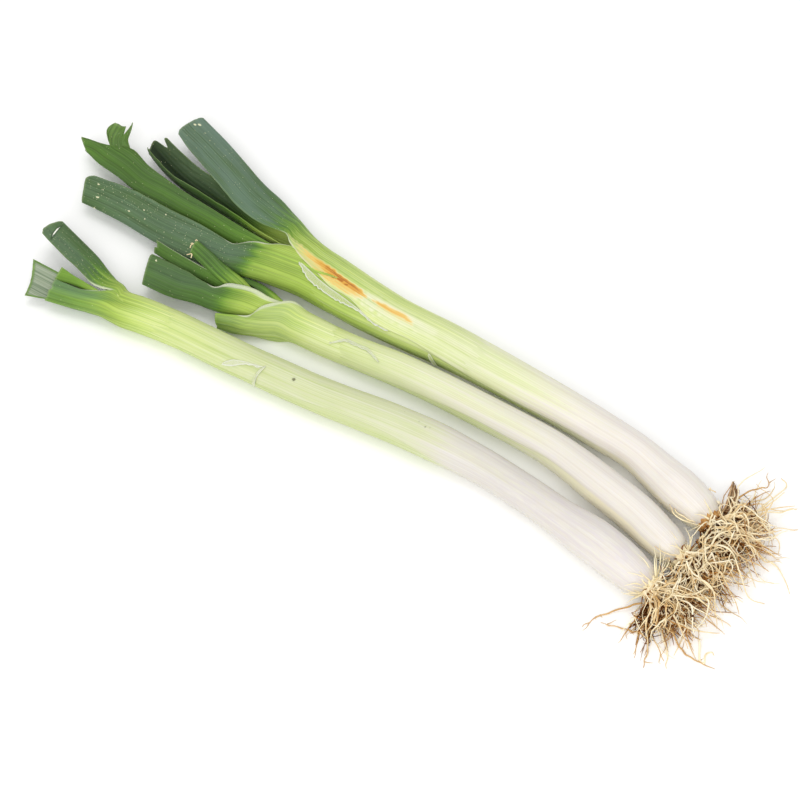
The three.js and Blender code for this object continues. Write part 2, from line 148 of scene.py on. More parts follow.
def smooth(knots, values, at):
    """Values between knots on a smooth curve; beyond either end they carry on straight."""
    knots, values, at = (np.asarray(a, float) for a in (knots, values, at))
    slopes = np.gradient(values, knots, axis=0)
    i = np.clip(np.searchsorted(knots, at, side="right") - 1, 0, len(knots) - 2)
    h = knots[i + 1] - knots[i]
    t = np.clip((at - knots[i]) / h, 0, 1)
    over = at - np.clip(at, knots[0], knots[-1])
    shape = (slice(None),) + (None,) * (values.ndim - 1)
    t, h, over = t[shape], h[shape], over[shape]
    a, b, sa, sb = values[i], values[i + 1], slopes[i] * h, slopes[i + 1] * h
    inside = (2 * t**3 - 3 * t**2 + 1) * a + (t**3 - 2 * t**2 + t) * sa
    inside += (3 * t**2 - 2 * t**3) * b + (t**3 - t**2) * sb
    return inside + over * np.where(over < 0, slopes[0], slopes[-1])


def through(course, steps):
    """Points at even steps along a smooth curve through a few given ones."""
    knots = np.arange(len(course))
    return smooth(knots, course, np.linspace(0, knots[-1], steps))


def on_shaft(stalk, x, angle, lift=0.0):
    """Points on a shaft's surface at distances x and angles around it, lifted off it by some millimetres.

    Past the bulb the shaft narrows towards its plate, and its middle sinks by BULB_DROP at the most.
    """
    x, angle, lift = np.broadcast_arrays(np.asarray(x, float), np.radians(angle), np.asarray(lift, float))
    table = np.array(SHAFTS[stalk], float)
    flat = x.ravel()
    y, half_width, half_height = smooth(table[:, 0], table[:, 1:], flat).T.reshape(3, *x.shape)
    slope = smooth(table[:, 0], table[:, 1:2], flat + 1)[:, 0].reshape(x.shape) - y
    run = np.hypot(1, slope)
    bulb_x, bulb = table[-3, 0], table[-3, 3]
    height = half_height * math.cos(REST_ANGLE)
    lowest = bulb * math.cos(REST_ANGLE) - BULB_DROP
    height = np.where(x > bulb_x, np.maximum(height, lowest), height)
    across = -np.cos(angle) * (half_width + lift)
    up = np.sin(angle) * (half_height + lift)
    z = np.maximum(height + up, SHAFT_CLEARANCE)
    return np.stack([x - slope / run * across, y + across / run, z], -1)


def unit(vector):
    return vector / np.linalg.norm(vector)


def soft(value, low, high):
    """0 below low, 1 above high, smooth between; works downhill too when low is the larger."""
    t = np.clip((np.asarray(value, float) - low) / (high - low), 0, 1)
    return t * t * (3 - 2 * t)


def place(points):
    return (np.asarray(points, float) - BUNCH_CENTRE) * MM


# ------------------------------------------------------------------ meshes

FIBRES = "fibres"


def new_object(name, verts, faces, uvs, attributes):
    """A mesh in the scene. Its uvs are millimetres across and along the fibres, given per vertex."""
    mesh = bpy.data.meshes.new(name)
    mesh.from_pydata(place(verts).tolist(), [], faces)
    for key, values in attributes.items():
        stored = mesh.attributes.new(key, "FLOAT", "POINT")
        stored.data.foreach_set("value", np.asarray(values, np.float32).ravel())
    layer = mesh.uv_layers.new(name=FIBRES)
    loops = np.empty(len(mesh.loops), np.int32)
    mesh.loops.foreach_get("vertex_index", loops)
    layer.data.foreach_set("uv", (np.asarray(uvs, np.float32)[loops] * MM).ravel())
    mesh.polygons.foreach_set("use_smooth", np.full(len(mesh.polygons), True))
    mesh.validate()
    mesh.update()
    made = bpy.data.objects.new(name, mesh)
    bpy.context.scene.collection.objects.link(made)
    return made


def grid_faces(rows, columns, start=0, closed=False, flip=False):
    """Quads over a grid of vertices; closed joins its last column to its first."""
    r, c = np.meshgrid(np.arange(rows - 1), np.arange(columns if closed else columns - 1), indexing="ij")
    n = (c + 1) % columns
    quads = np.stack([r * columns + c, r * columns + n, (r + 1) * columns + n, (r + 1) * columns + c], -1)
    quads = quads.reshape(-1, 4) + start
    return (quads[:, ::-1] if flip else quads).tolist()


def capped_faces(rows, around):
    """Faces of one tube made of rings, with a flat cap at either end."""
    first_ring = list(range(around))
    last_ring = list(range((rows - 1) * around, rows * around))
    return grid_faces(rows, around, closed=True) + [first_ring[::-1], last_ring]


def closed_sheet(outer, inner):
    """Vertices and faces of a closed sheet between two grids of points."""
    rows, columns = outer.shape[:2]
    count = rows * columns
    faces = grid_faces(rows, columns) + grid_faces(rows, columns, count, flip=True)
    for r in range(rows - 1):
        a, b = r * columns, (r + 1) * columns
        faces.append([a, b, count + b, count + a])
        a, b = a + columns - 1, b + columns - 1
        faces.append([b, a, count + a, count + b])
    for c in range(columns - 1):
        a = (rows - 1) * columns + c
        faces.append([a, a + 1, count + a + 1, count + a][::-1])
        faces.append([c, c + 1, count + c + 1, count + c])
    return np.concatenate([outer.reshape(-1, 3), inner.reshape(-1, 3)]), faces


def both_sides(values, shape):
    """Values on a grid of points, for the outer side of a closed sheet and again for its inner side."""
    return np.tile(np.broadcast_to(values, shape).ravel(), 2)


def run_length(points, axis):
    """Distance along each line of a grid of points, from its first point."""
    steps = np.linalg.norm(np.diff(points, axis=axis), axis=-1)
    start = np.zeros_like(np.take(steps, [0], axis))
    return np.concatenate([start, np.cumsum(steps, axis)], axis)


def finish_piece(piece, node, material):
    piece.data.materials.append(material)
    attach(piece, "root")
    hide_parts(node)


def grid_normals(points):
    along = np.gradient(points, axis=0)
    across = np.gradient(points, axis=1)
    normals = np.cross(along, across)
    return normals / np.maximum(np.linalg.norm(normals, axis=-1, keepdims=True), 1e-9)


# ------------------------------------------------------------------ shafts

# How green the outer sheath of each stalk is along x: 0 white, 0.3 pale, 0.7 sheath green, above 1
# blade green.
TONES = {
    "back": [(-140, 0.84), (-110, 0.70), (-60, 0.60), (-22, 0.39), (20, 0.27), (60, 0.22), (95, 0.1),
             (130, 0.01), (170, 0)],
    "middle": [(-112, 0.78), (-80, 0.60), (-40, 0.32), (5, 0.23), (45, 0.15), (85, 0.07), (125, 0.01),
               (140, 0)],
    "front": [(-240, 0.95), (-205, 0.72), (-180, 0.5), (-150, 0.42), (-100, 0.31), (-45, 0.24), (0, 0.22),
              (40, 0.2), (58, 0.12), (70, 0.02), (90, 0)],
}
# The greener strip along each stalk's lower side: x, the angle it reaches up to, and its tone.
LOWER_STRIPS = {
    "back": [(-140, 20, 0.7), (-66, 18, 0.66), (-46, 18, 0.64), (-7, 20, 0.62), (11, 18, 0.6), (39, 8, 0.54),
             (75, 0, 0.44), (110, 6, 0.28), (150, 10, 0.16), (200, 12, 0.1), (232, 10, 0.1)],
    "middle": [(-112, 8, 0.7), (-60, 2, 0.62), (-14, -2, 0.56), (24, 8, 0.42), (61, 20, 0.32), (97, 20, 0.22),
               (130, 28, 0.16), (190, 28, 0.12), (212, 26, 0.1), (232, 24, 0.1)],
    "front": [(-200, 10, 0.7), (-120, 6, 0.5), (-60, 12, 0.44), (-16, 29, 0.36), (31, 22, 0.34), (56, 5, 0.3),
              (66, 0, 0.1), (90, -2, 0)],
}
# How much painted beige shade the strip has near the bulb, painted pearly sheen the skin above, painted shade
# the shaft.
UNDERSIDE_SHADE = {"back": 0.75, "middle": 0.9, "front": 0.05}
PEARL_SHEEN = {"back": 0.3, "middle": 0.15, "front": 1.0}
SHADE = {"back": 0.0, "middle": 0.06, "front": 0.2}
# Small dark marks on the shafts: distance along the shaft, angle around it and radius. A radius below 0
# leaves a fainter mark.
MARKS = {
    "back": [(110, 70, -0.1), (182, 60, 0.0), (187, 96, -0.1)],
    "middle": [(150, 80, -0.1)],
    "front": [(-49, 72, 1.0), (29, 110, 0.1), (41, 96, 0.1), (46.6, 88, 0.4), (50, 92, 0.1)],
}
MARK_REACH = 5
SHAFT_AROUND = 104
SHAFT_ROW = 1.4
# One length around all shafts, for the fibres. The strip lies STEP_HEIGHT below the rest of the shaft, and
# the seam between them gets a painted highlight above it and a painted shadow below it, by the distance from
# it, as far as SEAM_REACH.
SHAFT_GIRTH = 84
STEP_HEIGHT = 0.35
SEAM_REACH = 6
MM_PER_DEGREE = 0.22
RIB_HEIGHT, RIB_WAVE = 0.1, 14
DENT_DEPTH, DENT_WAVE = 0.14, 70
# Over how many millimetres each shaft closes at its end among the leaves.
SHAFT_CLOSES = {"back": 26, "middle": 56, "front": 26}


def wander(rng, at, wave, terms=7):
    """Smooth random values of about -1 to 1 along a coordinate, with features about one wave long."""
    at = np.asarray(at, float)
    total = np.zeros_like(at)
    for _ in range(terms):
        total += np.sin(at * (2 * math.pi / wave) * rng.uniform(0.5, 1.6) + rng.uniform(0, 2 * math.pi))
    return total / math.sqrt(terms)


def mark_strength(away, radius):
    """How near a point is to a round mark: 1 at its rim, less outside it and more within."""
    return np.clip(1 - (away - radius) / MARK_REACH, 0, 2)


def sheath_tone(stalk, x, angle, rng):
    """How green a shaft is at x and angle, how far it is in the lower strip, and the angle above its seam."""
    fibres = wander(rng, angle, 9) * 0.5 + wander(rng, angle, 3.2) * 0.5
    shifted = x + 9 * fibres
    tone = np.interp(shifted, *zip(*TONES[stalk]))
    knots, reach, green = zip(*LOWER_STRIPS[stalk])
    angle = (np.asarray(angle, float) + 180) % 360 - 180
    edge = smooth(knots, np.array(reach, float)[:, None], x.ravel())[:, 0].reshape(x.shape)
    margin = angle - edge
    below = soft(-margin + 1.2 * fibres, -1, 4) * soft(angle, -150, -100)
    gradual = below * (0.35 + 0.65 * soft(-margin, 4, 44))
    deepens = gradual + (below - gradual) * soft(x, 20, 90)
    tone = tone + (np.maximum(np.interp(shifted, knots, green), tone) - tone) * deepens
    return tone, below, margin


def shaft_piece(stalk, material, seed):
    """A shaft with faint ribs and dents, its lower strip a little sunk, and its colours."""
    rng = np.random.default_rng(seed)
    first, last = SHAFTS[stalk][0][0], SHAFTS[stalk][-1][0]
    rows = int((last - first) / SHAFT_ROW)
    x = np.linspace(first, last, rows)
    angle = np.linspace(-90, 270, SHAFT_AROUND, endpoint=False)
    grid_x, grid_angle = np.meshgrid(x, angle, indexing="ij")
    ribs = wander(rng, angle, RIB_WAVE) * np.cos(np.radians(angle + 90) / 2) ** 2
    dents = wander(rng, x, DENT_WAVE)[:, None] * np.cos(np.radians(grid_angle) * 2 + 0.02 * grid_x)
    tone, below, margin = sheath_tone(stalk, grid_x, grid_angle, np.random.default_rng(seed + 50))
    step = soft(margin, -3, 3) * soft(grid_x, 190, 120)
    lift = RIB_HEIGHT * ribs[None, :] + DENT_DEPTH * dents + STEP_HEIGHT * step - STEP_HEIGHT
    closing = np.clip((x - first) / SHAFT_CLOSES[stalk], 0, 1)[:, None]
    points = on_shaft(stalk, grid_x, grid_angle, lift)
    axis = points.mean(1, keepdims=True)
    points = axis + (points - axis) * np.sqrt(1 - (1 - closing) ** 2 * 0.98)[..., None]
    uvs = np.stack([grid_angle / 360 * SHAFT_GIRTH, grid_x], -1).reshape(-1, 2)
    # Painted sheen: pale lilac patches on the skin towards the bulb, most on the front stalk.
    pearl_sheen = PEARL_SHEEN[stalk] * soft(grid_x, 60, 130) * soft(margin, -10, 25)
    # Painted shade: a warm beige along the underside towards the bulb.
    underside_shade = UNDERSIDE_SHADE[stalk] * below * soft(grid_x, 70, 200)
    # Where the seam's painted highlight and painted shadow show, and how far each point lies from the seam.
    seamed = soft(margin, -60, -40) * soft(margin, 60, 40) * soft(grid_x, 170, 120)
    mark = np.zeros(tone.shape)
    for mark_x, mark_angle, radius in MARKS[stalk]:
        away = np.linalg.norm(points - on_shaft(stalk, mark_x, mark_angle), axis=-1)
        mark = np.maximum(mark, mark_strength(away, radius))
    seam = np.clip(margin * MM_PER_DEGREE, -SEAM_REACH, SEAM_REACH)
    # Painted shade over the whole shaft, most on the front stalk, which the lamps light the most.
    dark = SHADE[stalk] * soft(grid_x, -170, -60) * soft(grid_x, 330, 60)
    piece = new_object(
        f"{stalk}_shaft_skin", points.reshape(-1, 3), capped_faces(rows, SHAFT_AROUND), uvs,
        dict(mark=mark, tone=tone, seam=seam, seamed=seamed, pearl_sheen=pearl_sheen, underside_shade=underside_shade, dark=dark))
    finish_piece(piece, f"{stalk}_shaft", material)


# ------------------------------------------------------------------ leaves

LEAF_THICKNESS = 0.7
KEEL_THICKNESS = 0.6
LEAF_HALVES = 26
LEAF_ROW = 1.8
LOWEST_EDGE = 0.8
WAX_TONE = 0.95
# Relief of the leaves: slow ripples along them, and ribs across.
RIPPLE_HEIGHT, RIPPLE_WAVE, FLUTTER_WAVE = 0.35, 55, 18
LEAF_RIB_HEIGHT, LEAF_RIB_WAVE = 0.10, 3.64
# The broad and the narrow streaks that the colour runs in, across a leaf.
STREAK_WAVES = (5, 1.8)


class Ring:
    """A section of sheath around a shaft: the angles of its keel and of its two free edges."""

    def __init__(self, x, keel, upper, lower, lift=0.5):
        self.x, self.keel, self.upper, self.lower, self.lift = x, keel, upper, lower, lift

    def points(self, stalk, s):
        edge = np.where(s < 0, self.lower, self.upper)
        return on_shaft(stalk, self.x, self.keel + (edge - self.keel) * np.abs(s), self.lift)


class Fold:
    """A folded section: its keel and its two free edges, with halves that swell outwards.

    Without a lower edge, that one lies as far below the keel as the upper one is above it. wrap rounds
    the halves, from a flat fold at 0 to a gutter at 1.
    """

    def __init__(self, keel, upper, lower=None, swell=2.0, wrap=0.0):
        if lower is None:
            lower = (upper[0], upper[1], max(2 * keel[2] - upper[2], LOWEST_EDGE))
        self.keel, self.upper, self.lower = (np.array(p, float) for p in (keel, upper, lower))
        self.swell, self.wrap = swell, wrap

    def half(self, edge, other, s):
        chord = edge - self.keel
        out = unit(np.array([0.0, -chord[2], chord[1]]))
        if out @ (other - self.keel) > 0:
            out = -out
        along = (1 - self.wrap) * s + self.wrap * (1 - np.cos(math.pi * s)) / 2
        bow = (1 - self.wrap) * 4 * s * (1 - s) + self.wrap * np.sin(math.pi * s)
        return self.keel + along[:, None] * chord + (bow * self.swell)[:, None] * out

    def points(self, stalk, s):
        low = self.half(self.lower, self.upper, np.maximum(-s, 0))
        high = self.half(self.upper, self.lower, np.maximum(s, 0))
        return np.where((s < 0)[:, None], low, high)


# Each leaf from its sheath to its cut tip. tone: how green each section is. rim: how far a pale membrane
# reaches in from the upper edge at each section. cut: how far short of the tip the leaf is cut, from the
# lower edge (-1) over the keel (0) to the upper edge (1); dark, painted shade for the shadowed inside of
# the fold, is given the same way. bloom: its bluish wax, and waxed the tone it starts at. specks: how many
# cream specks it has. streak: how far its colours run along the fibres. grey: how much of its pale inner
# face shows. halves and row: its mesh's columns in each half and the length of its rows.
LEAVES = {
    "back_leaf_4": dict(
        sections=[Ring(-66, 0, 150, -150, -0.5), Ring(-82, 0, 146, -145, 0.0), Ring(-98, 0, 138, -138, 0.4),
                  Fold((-124, 4.6, 13), (-126, 32.5, 26), swell=5.5, wrap=0.8),
                  Fold((-137, 0.5, 13), (-139, 25.5, 25.4), swell=4, wrap=0.5),
                  Fold((-148, -3.5, 13), (-149.5, 20.5, 24.8), swell=3, wrap=0.3),
                  Fold((-157, -7.4, 13), (-157.5, 12.4, 23.8), swell=2.4, wrap=0.2),
                  Fold((-168, -10.3, 12.8), (-170, 12.3, 22.8), swell=2.2, wrap=0.1),
                  Fold((-185, -12.6, 12.4), (-189, 13, 21.4), swell=2),
                  Fold((-211, -15, 12), (-218, 11.4, 20), swell=1.8),
                  Fold((-244, -15.4, 12), (-250, 10.6, 18.5), swell=1.6),
                  Fold((-280, -19.2, 12), (-293, 3.4, 16), swell=1.2)],
        tone=[0.66, 0.68, 0.71, 0.73, 0.82, 1.3, 1.46, 1.52, 1.58, 1.6, 1.6, 1.45],
        rim=[0, 0, 0.5, 2, 2.5, 2.5, 1.5, 0, 0, 0, 0, 0],
        cut=[(-1, 6), (-0.8, 2), (-0.1, 1), (0, 2), (0.08, 1), (0.8, 0), (0.93, 2), (1, 6)],
        bloom=0.6, specks=0.6, streak=3.5),
    "back_leaf_1": dict(
        sections=[Ring(62, 180, -6, 330, -0.5), Ring(39, 180, 6, 330, 0.0), Ring(11, 180, 20, 330, 0.3),
                  Ring(-10, 180, 32, 328, 0.45), Ring(-30, 180, 32, 325, 0.5), Ring(-44, 180, 40, 322, 0.6),
                  Ring(-54, 180, 55, 320, 0.65), Ring(-62, 180, 61, 318, 0.7), Ring(-78, 180, 62, 312, 0.8),
                  Ring(-90, 180, 71, 306, 0.9), Ring(-100, 180, 77, 300, 1.0),
                  Fold((-113, 54.6, 14), (-115, 30.4, 27.2), (-113, 40, 3), swell=6.5, wrap=0.85),
                  Fold((-125, 58.6, 14.5), (-125, 35, 27), (-125, 46, 6), swell=4.6, wrap=0.55),
                  Fold((-137, 63, 15), (-134, 40.5, 26.4), (-137, 50, 9), swell=3.2, wrap=0.3),
                  Fold((-146, 65.8, 15), (-144, 38.8, 25.4), (-146, 50, 10), swell=2.6, wrap=0.1),
                  Fold((-158, 69.4, 15.5), (-156, 38, 24.8), (-158, 50, 11), swell=2),
                  Fold((-177, 73.2, 16), (-177, 40.6, 24), (-177, 51.8, 11.5), swell=1.8),
                  Fold((-205, 81.8, 17), (-206, 49.8, 23.4), (-205, 60.8, 12), swell=1.4),
                  Fold((-232, 89.8, 17.6), (-231, 58.8, 22.4), (-231, 70.8, 13), swell=1.2),
                  Fold((-249, 94.2, 18), (-247, 64.2, 22), (-247, 74.8, 13.5), swell=1),
                  Fold((-261, 97.4, 18), (-264, 71.6, 21.6), (-262, 81.8, 13.5), swell=1)],
        tone=[0.22, 0.25, 0.31, 0.35, 0.38, 0.41, 0.43, 0.46, 0.5, 0.55, 0.6, 0.7, 0.82, 0.98, 1.1, 1.25,
              1.45, 1.65, 1.75, 1.8, 1.85],
        rim=[0, 0, 0, 0, 0.4, 0.6, 0.8, 1, 1, 1, 1.4, 2.4, 2.2, 1, 0, 0, 0, 0, 0, 0, 0],
        cut=[(-1, 1), (0, 3), (0.08, 1), (0.3, 0.2), (0.75, 0.2), (0.92, 1), (1, 3)],
        bloom=1.15, specks=0.2, streak=12, halves=46, row=1.12),
    "back_leaf_3": dict(
        sections=[Fold((-112, 24, 12), (-110, 34, 21), swell=2, wrap=0.5),
                  Fold((-140, 19.5, 13), (-138, 29, 22.5), swell=2, wrap=0.4),
                  Fold((-160, 17, 13), (-160, 28.5, 22.5), swell=2, wrap=0.3),
                  Fold((-194, 15.8, 13), (-195, 29.4, 21.5), swell=2.2, wrap=0.3),
                  Fold((-222, 14, 13), (-225, 30.6, 20.5), swell=2.2, wrap=0.2),
                  Fold((-254, 13, 13), (-259, 34.8, 19), swell=2, wrap=0.1),
                  Fold((-282, 16.2, 13), (-284, 39.6, 18.4), swell=1.6),
                  Fold((-297, 17.4, 13), (-298.5, 32.4, 18), swell=1.2),
                  Fold((-309, 20, 13), (-321, 27, 17), swell=1)],
        tone=[0.85, 0.95, 1.1, 1.2, 1.24, 1.24, 1.24, 1.2, 1.16],
        rim=[0] * 9, cut=[(-1, 4), (-0.5, 1), (0, 1.5), (0.2, 0), (1, 0.5)],
        bloom=0.12, specks=0.12, streak=9),
    "back_leaf_3_flap": dict(
        node="back_leaf_3",
        sections=[Fold((-281, 29.5, 15.4), (-274, 35, 15.8), (-288, 25, 15), swell=0.6),
                  Fold((-289.4, 36, 17.4), (-283, 40.4, 18), (-295.1, 31.8, 17.4), swell=1.2),
                  Fold((-294.6, 41.2, 18.6), (-287, 43.6, 21), (-300.8, 35.6, 21), swell=2.2, wrap=0.3),
                  Fold((-296, 44.8, 20), (-287.6, 47.2, 24), (-304.4, 39.4, 24), swell=3, wrap=0.5),
                  Fold((-295.6, 48.4, 22.6), (-290.2, 53.2, 26.4), (-303.4, 44.6, 26.4), swell=3, wrap=0.5),
                  Fold((-294.6, 51.4, 25), (-291.6, 56, 27.6), (-299.4, 50, 28), swell=2.2, wrap=0.5)],
        tone=[1.2, 1.2, 1.16, 1.12, 1.08, 1.05], rim=[0] * 6,
        cut=[(-1, 2.6), (-0.8, 0.6), (-0.3, 0), (0.06, 0.6), (0.12, 10), (0.32, 11), (0.38, 1), (0.8, 0),
             (1, 2)],
        bloom=0.1, specks=0.1, streak=4, halves=16, row=1.0),
    "back_leaf_2": dict(
        sections=[Fold((-112, 40, 9), (-106, 47, 20), (-112, 34, 20), swell=1.5, wrap=0.3),
                  Fold((-132, 39.5, 8), (-129, 44.5, 22), (-133, 32, 23.4), swell=1.5, wrap=0.3),
                  Fold((-152, 37, 7), (-149, 43, 22), (-152, 32.4, 23.4), swell=1.2),
                  Fold((-168, 36.5, 7), (-167, 43.5, 22), (-168, 34.2, 22.8), swell=1.2),
                  Fold((-188, 36.5, 7), (-191, 48, 22), (-191, 35.6, 22), swell=1.2),
                  Fold((-208, 37, 7), (-209, 52.2, 22), (-212, 36.6, 21), swell=1.2),
                  Fold((-228, 38.5, 7), (-228, 54.4, 21), (-236, 37.6, 20.2), swell=1.2),
                  Fold((-248, 42, 7.5), (-250, 59, 20.5), (-256, 41.6, 20), swell=1.2),
                  Fold((-272, 49, 9), (-274, 65, 20.6), (-272, 47.5, 19.4), swell=1)],
        tone=[0.5, 0.54, 0.74, 1.05, 1.3, 1.44, 1.5, 1.5, 1.45],
        dark=[(-1, 0), (-0.1, 0.4), (0, 1), (0.35, 1), (0.75, 0.55), (1, 0.5)],
        rim=[0] * 9,
        cut=[(-1, 0), (-0.72, 1), (-0.6, 7), (-0.4, 7), (-0.15, 3), (0, -2.5), (0.45, -3), (0.64, -1),
             (0.69, 12), (0.77, 12.5), (0.84, 7), (0.93, 5), (1, 8)],
        bloom=0.3, specks=0.1, streak=8),
    "middle_leaf_1": dict(
        sections=[Ring(-30, -15, 150, -160, -0.5), Ring(-48, -15, 150, -160, 0.1),
                  Ring(-66, -15, 150, -155, 0.45),
                  Ring(-79, -16, 148, -145, 0.65),
                  Fold((-91, -24.8, 8.2), (-92, -3.2, 23.4), (-91, -14, 0.8), swell=7, wrap=0.95),
                  Fold((-99, -29.6, 8), (-100.5, -12, 24.4), (-99, -19, 0.8), swell=5.4, wrap=0.85),
                  Fold((-105.5, -33.4, 8.2), (-106.5, -20, 23.4), (-105.5, -25, 0.9), swell=3.6, wrap=0.7),
                  Fold((-111, -37.2, 8.6), (-110, -27.6, 19.2), (-111, -31.5, 1), swell=2.2, wrap=0.55),
                  Fold((-119, -40.6, 9), (-120, -33.8, 18), (-119, -36, 1.4), swell=1.6, wrap=0.4),
                  Fold((-128, -44.2, 9), (-132, -40.3, 17.4), (-131, -40, 2.4), swell=1.4, wrap=0.4)],
        tone=[0.32, 0.34, 0.38, 0.48, 0.53, 0.56, 0.6, 0.66, 0.82, 0.88],
        rim=[0, 0, 0, 1.5, 4.4, 5.4, 5, 3, 0, 0],
        cut=[(-1, 1), (0, 0.2), (0.5, 0), (1, 0.3)], bloom=0.5, specks=0.3, streak=5, grey=0.2),
    "middle_leaf_2": dict(
        sections=[Ring(-80, -10, 150, -150, -1.0), Ring(-96, -10, 140, -125, -1.4),
                  Fold((-112, -26.2, 11.6), (-108, -10, 23.6), (-108, -13, 2), swell=5, wrap=0.9),
                  Fold((-122, -30.2, 12), (-120, -10.6, 24), (-120, -15, 2), swell=4, wrap=0.7),
                  Fold((-131, -34, 12), (-131, -14.2, 24), swell=3.2, wrap=0.5),
                  Fold((-138, -36.4, 12), (-139, -18.4, 23.4), swell=2.6, wrap=0.3),
                  Fold((-143, -37.6, 12), (-143.5, -24.2, 21.8), swell=2.2, wrap=0.2),
                  Fold((-153, -40.2, 12), (-154, -25.2, 20.6), swell=2, wrap=0.1),
                  Fold((-169, -46, 12), (-169, -24.4, 19), swell=2),
                  Fold((-182, -48.6, 12), (-186, -25.2, 18), swell=1.8),
                  Fold((-193, -49.4, 12), (-204, -26.4, 17), swell=1.6)],
        tone=[0.56, 0.6, 0.66, 0.72, 0.9, 1.15, 1.22, 1.28, 1.34, 1.34, 1.3],
        rim=[6, 6, 5.5, 5, 5, 4.4, 2, 0, 0, 0, 0],
        cut=[(-1, 2), (0, 0.3), (0.9, 0), (1, 0.8)], bloom=0.3, specks=0.12, streak=3),
    "middle_leaf_3": dict(
        sections=[Fold((-118, -20, 12), (-118, -13, 18), swell=1),
                  Fold((-142, -20, 13), (-140, -14, 20), swell=1),
                  Fold((-170, -22.5, 14), (-168, -15, 19), swell=1),
                  Fold((-204, -23.4, 14), (-208, -15.2, 18), swell=1)],
        tone=[0.85, 1.12, 1.24, 1.24], rim=[0, 0, 0.8, 0.8],
        cut=[(-1, 0), (0, 0), (0.45, 0), (0.5, 2.5), (1, 0)], bloom=0.1, specks=0.1, streak=5),
    "middle_leaf_4": dict(
        sections=[Fold((-110, -12, 15), (-108, -7.5, 12), (-113, -16, 12), swell=2, wrap=0.6),
                  Fold((-126, -12.6, 20.6), (-124, -8, 16), (-129, -17.5, 16), swell=1.6, wrap=0.5),
                  Fold((-138, -10.8, 22.4), (-137, -6, 18.4), (-140, -17.5, 18), swell=1.3, wrap=0.4),
                  Fold((-151, -8.6, 23), (-151, -4.4, 19.5), (-152, -16.5, 19), swell=1, wrap=0.3),
                  Fold((-165, -5, 23), (-167, -1.6, 19.5), (-168, -13.5, 19), swell=1, wrap=0.3),
                  Fold((-182, -1.6, 22.5), (-183, 0.4, 19.5), (-183, -10, 19.5), swell=0.8, wrap=0.3)],
        tone=[0.7, 0.74, 0.86, 1.1, 1.2, 1.1], rim=[0] * 6,
        cut=[(-1, 3), (-0.6, 1.5), (-0.2, 0), (0.3, 1), (1, 0)], bloom=0.2, specks=0.1, streak=6),
    "middle_leaf_5": dict(
        sections=[Fold((-80, -4.4, 11), (-82, -9, 16.6), swell=1.4, wrap=0.8),
                  Fold((-100, -2, 11.5), (-102, -8, 19.4), swell=2.2, wrap=0.7),
                  Fold((-119, 1.5, 10.5), (-119, -7, 19), swell=2.4, wrap=0.5),
                  Fold((-133, 2.5, 9.5), (-133, -5, 15), swell=1.6, wrap=0.4),
                  Fold((-146, 0, 8), (-144, -4, 11), swell=1, wrap=0.3)],
        tone=[0.6, 0.74, 1.15, 1.3, 1.3], rim=[0] * 5, cut=[(-1, 4), (0, 0), (1, 3)], bloom=0.4, specks=0,
        streak=5),
    "front_leaf_4": dict(
        sections=[Ring(-136, 0, 150, -150, -0.4), Ring(-156, 0, 148, -150, 0.1),
                  Ring(-174, 0, 140, -150, 0.5),
                  Ring(-188, 0, 128, -140, 0.7),
                  Fold((-199, -87.4, 11.2), (-198.5, -70.2, 23.2), swell=3.6, wrap=0.85),
                  Fold((-209, -90, 11.2), (-208, -77.6, 22.6), swell=2.8, wrap=0.7),
                  Fold((-219, -93.4, 11), (-218, -82.8, 21.8), swell=2.2, wrap=0.5),
                  Fold((-229, -97.4, 11), (-229, -84.8, 20.8), swell=1.9, wrap=0.4),
                  Fold((-239.6, -100.6, 10.6), (-240.4, -86.2, 20), swell=1.7, wrap=0.4)],
        tone=[0.42, 0.44, 0.54, 0.68, 0.8, 0.9, 0.95, 0.98, 0.98],
        rim=[0, 0, 0, 0.8, 1.6, 1.6, 0.8, 0, 0],
        cut=[(-1, 0), (0, 0.2), (0.3, 1.2), (0.5, 0), (0.56, 2.6), (0.66, 0.4), (0.9, 0), (1, 0.4)],
        bloom=0.75, waxed=0.7, specks=0.2, streak=8),
    "front_leaf_1": dict(
        sections=[Ring(-164, 180, 60, 300, -0.4), Ring(-178, 180, 72, 295, 0.2),
                  Ring(-190, 180, 84, 290, 0.6),
                  Fold((-200, -59.6, 13), (-197.5, -71, 23), (-199, -66, 3), swell=3.8, wrap=0.8),
                  Fold((-208, -58, 14), (-206, -74.4, 23), (-207, -66, 6), swell=3.4, wrap=0.5),
                  Fold((-217, -55.8, 15), (-214.5, -75.4, 22.6), (-216, -65.8, 8), swell=3, wrap=0.3),
                  Fold((-230, -51.4, 16), (-229, -71.8, 22), (-229, -62.8, 9.5), swell=2),
                  Fold((-247, -47.8, 17), (-251, -67.8, 22), (-250, -58.8, 10.5), swell=1.6),
                  Fold((-263, -44.8, 18), (-266, -64.2, 21.2), (-265, -55.3, 11), swell=1.3),
                  Fold((-274.6, -42.8, 18.4), (-280.4, -60.4, 21), (-278, -51.8, 12), swell=1.2)],
        tone=[0.45, 0.52, 0.64, 0.76, 0.86, 1.0, 1.3, 1.46, 1.52, 1.52],
        rim=[0, 0, 0.2, 1.2, 2.2, 1.8, 0, 0, 0, 0],
        cut=[(-1, 1), (0, 1.5), (0.1, 0.3), (0.55, 0), (0.88, 1), (1, 4)], bloom=0.5, specks=0.9, streak=8,
        row=0.9),
    "front_leaf_3": dict(
        sections=[Fold((-196, -80, 17), (-194, -76, 20), swell=1.5, wrap=0.4),
                  Fold((-213, -80.5, 19), (-212, -76.6, 22.2), swell=1.5, wrap=0.3),
                  Fold((-226, -82.5, 19.5), (-227, -77.4, 22.6), swell=1.2),
                  Fold((-241, -86.6, 19), (-242.4, -76.8, 22.4), swell=1)],
        tone=[0.72, 0.86, 0.96, 0.96], rim=[0] * 4,
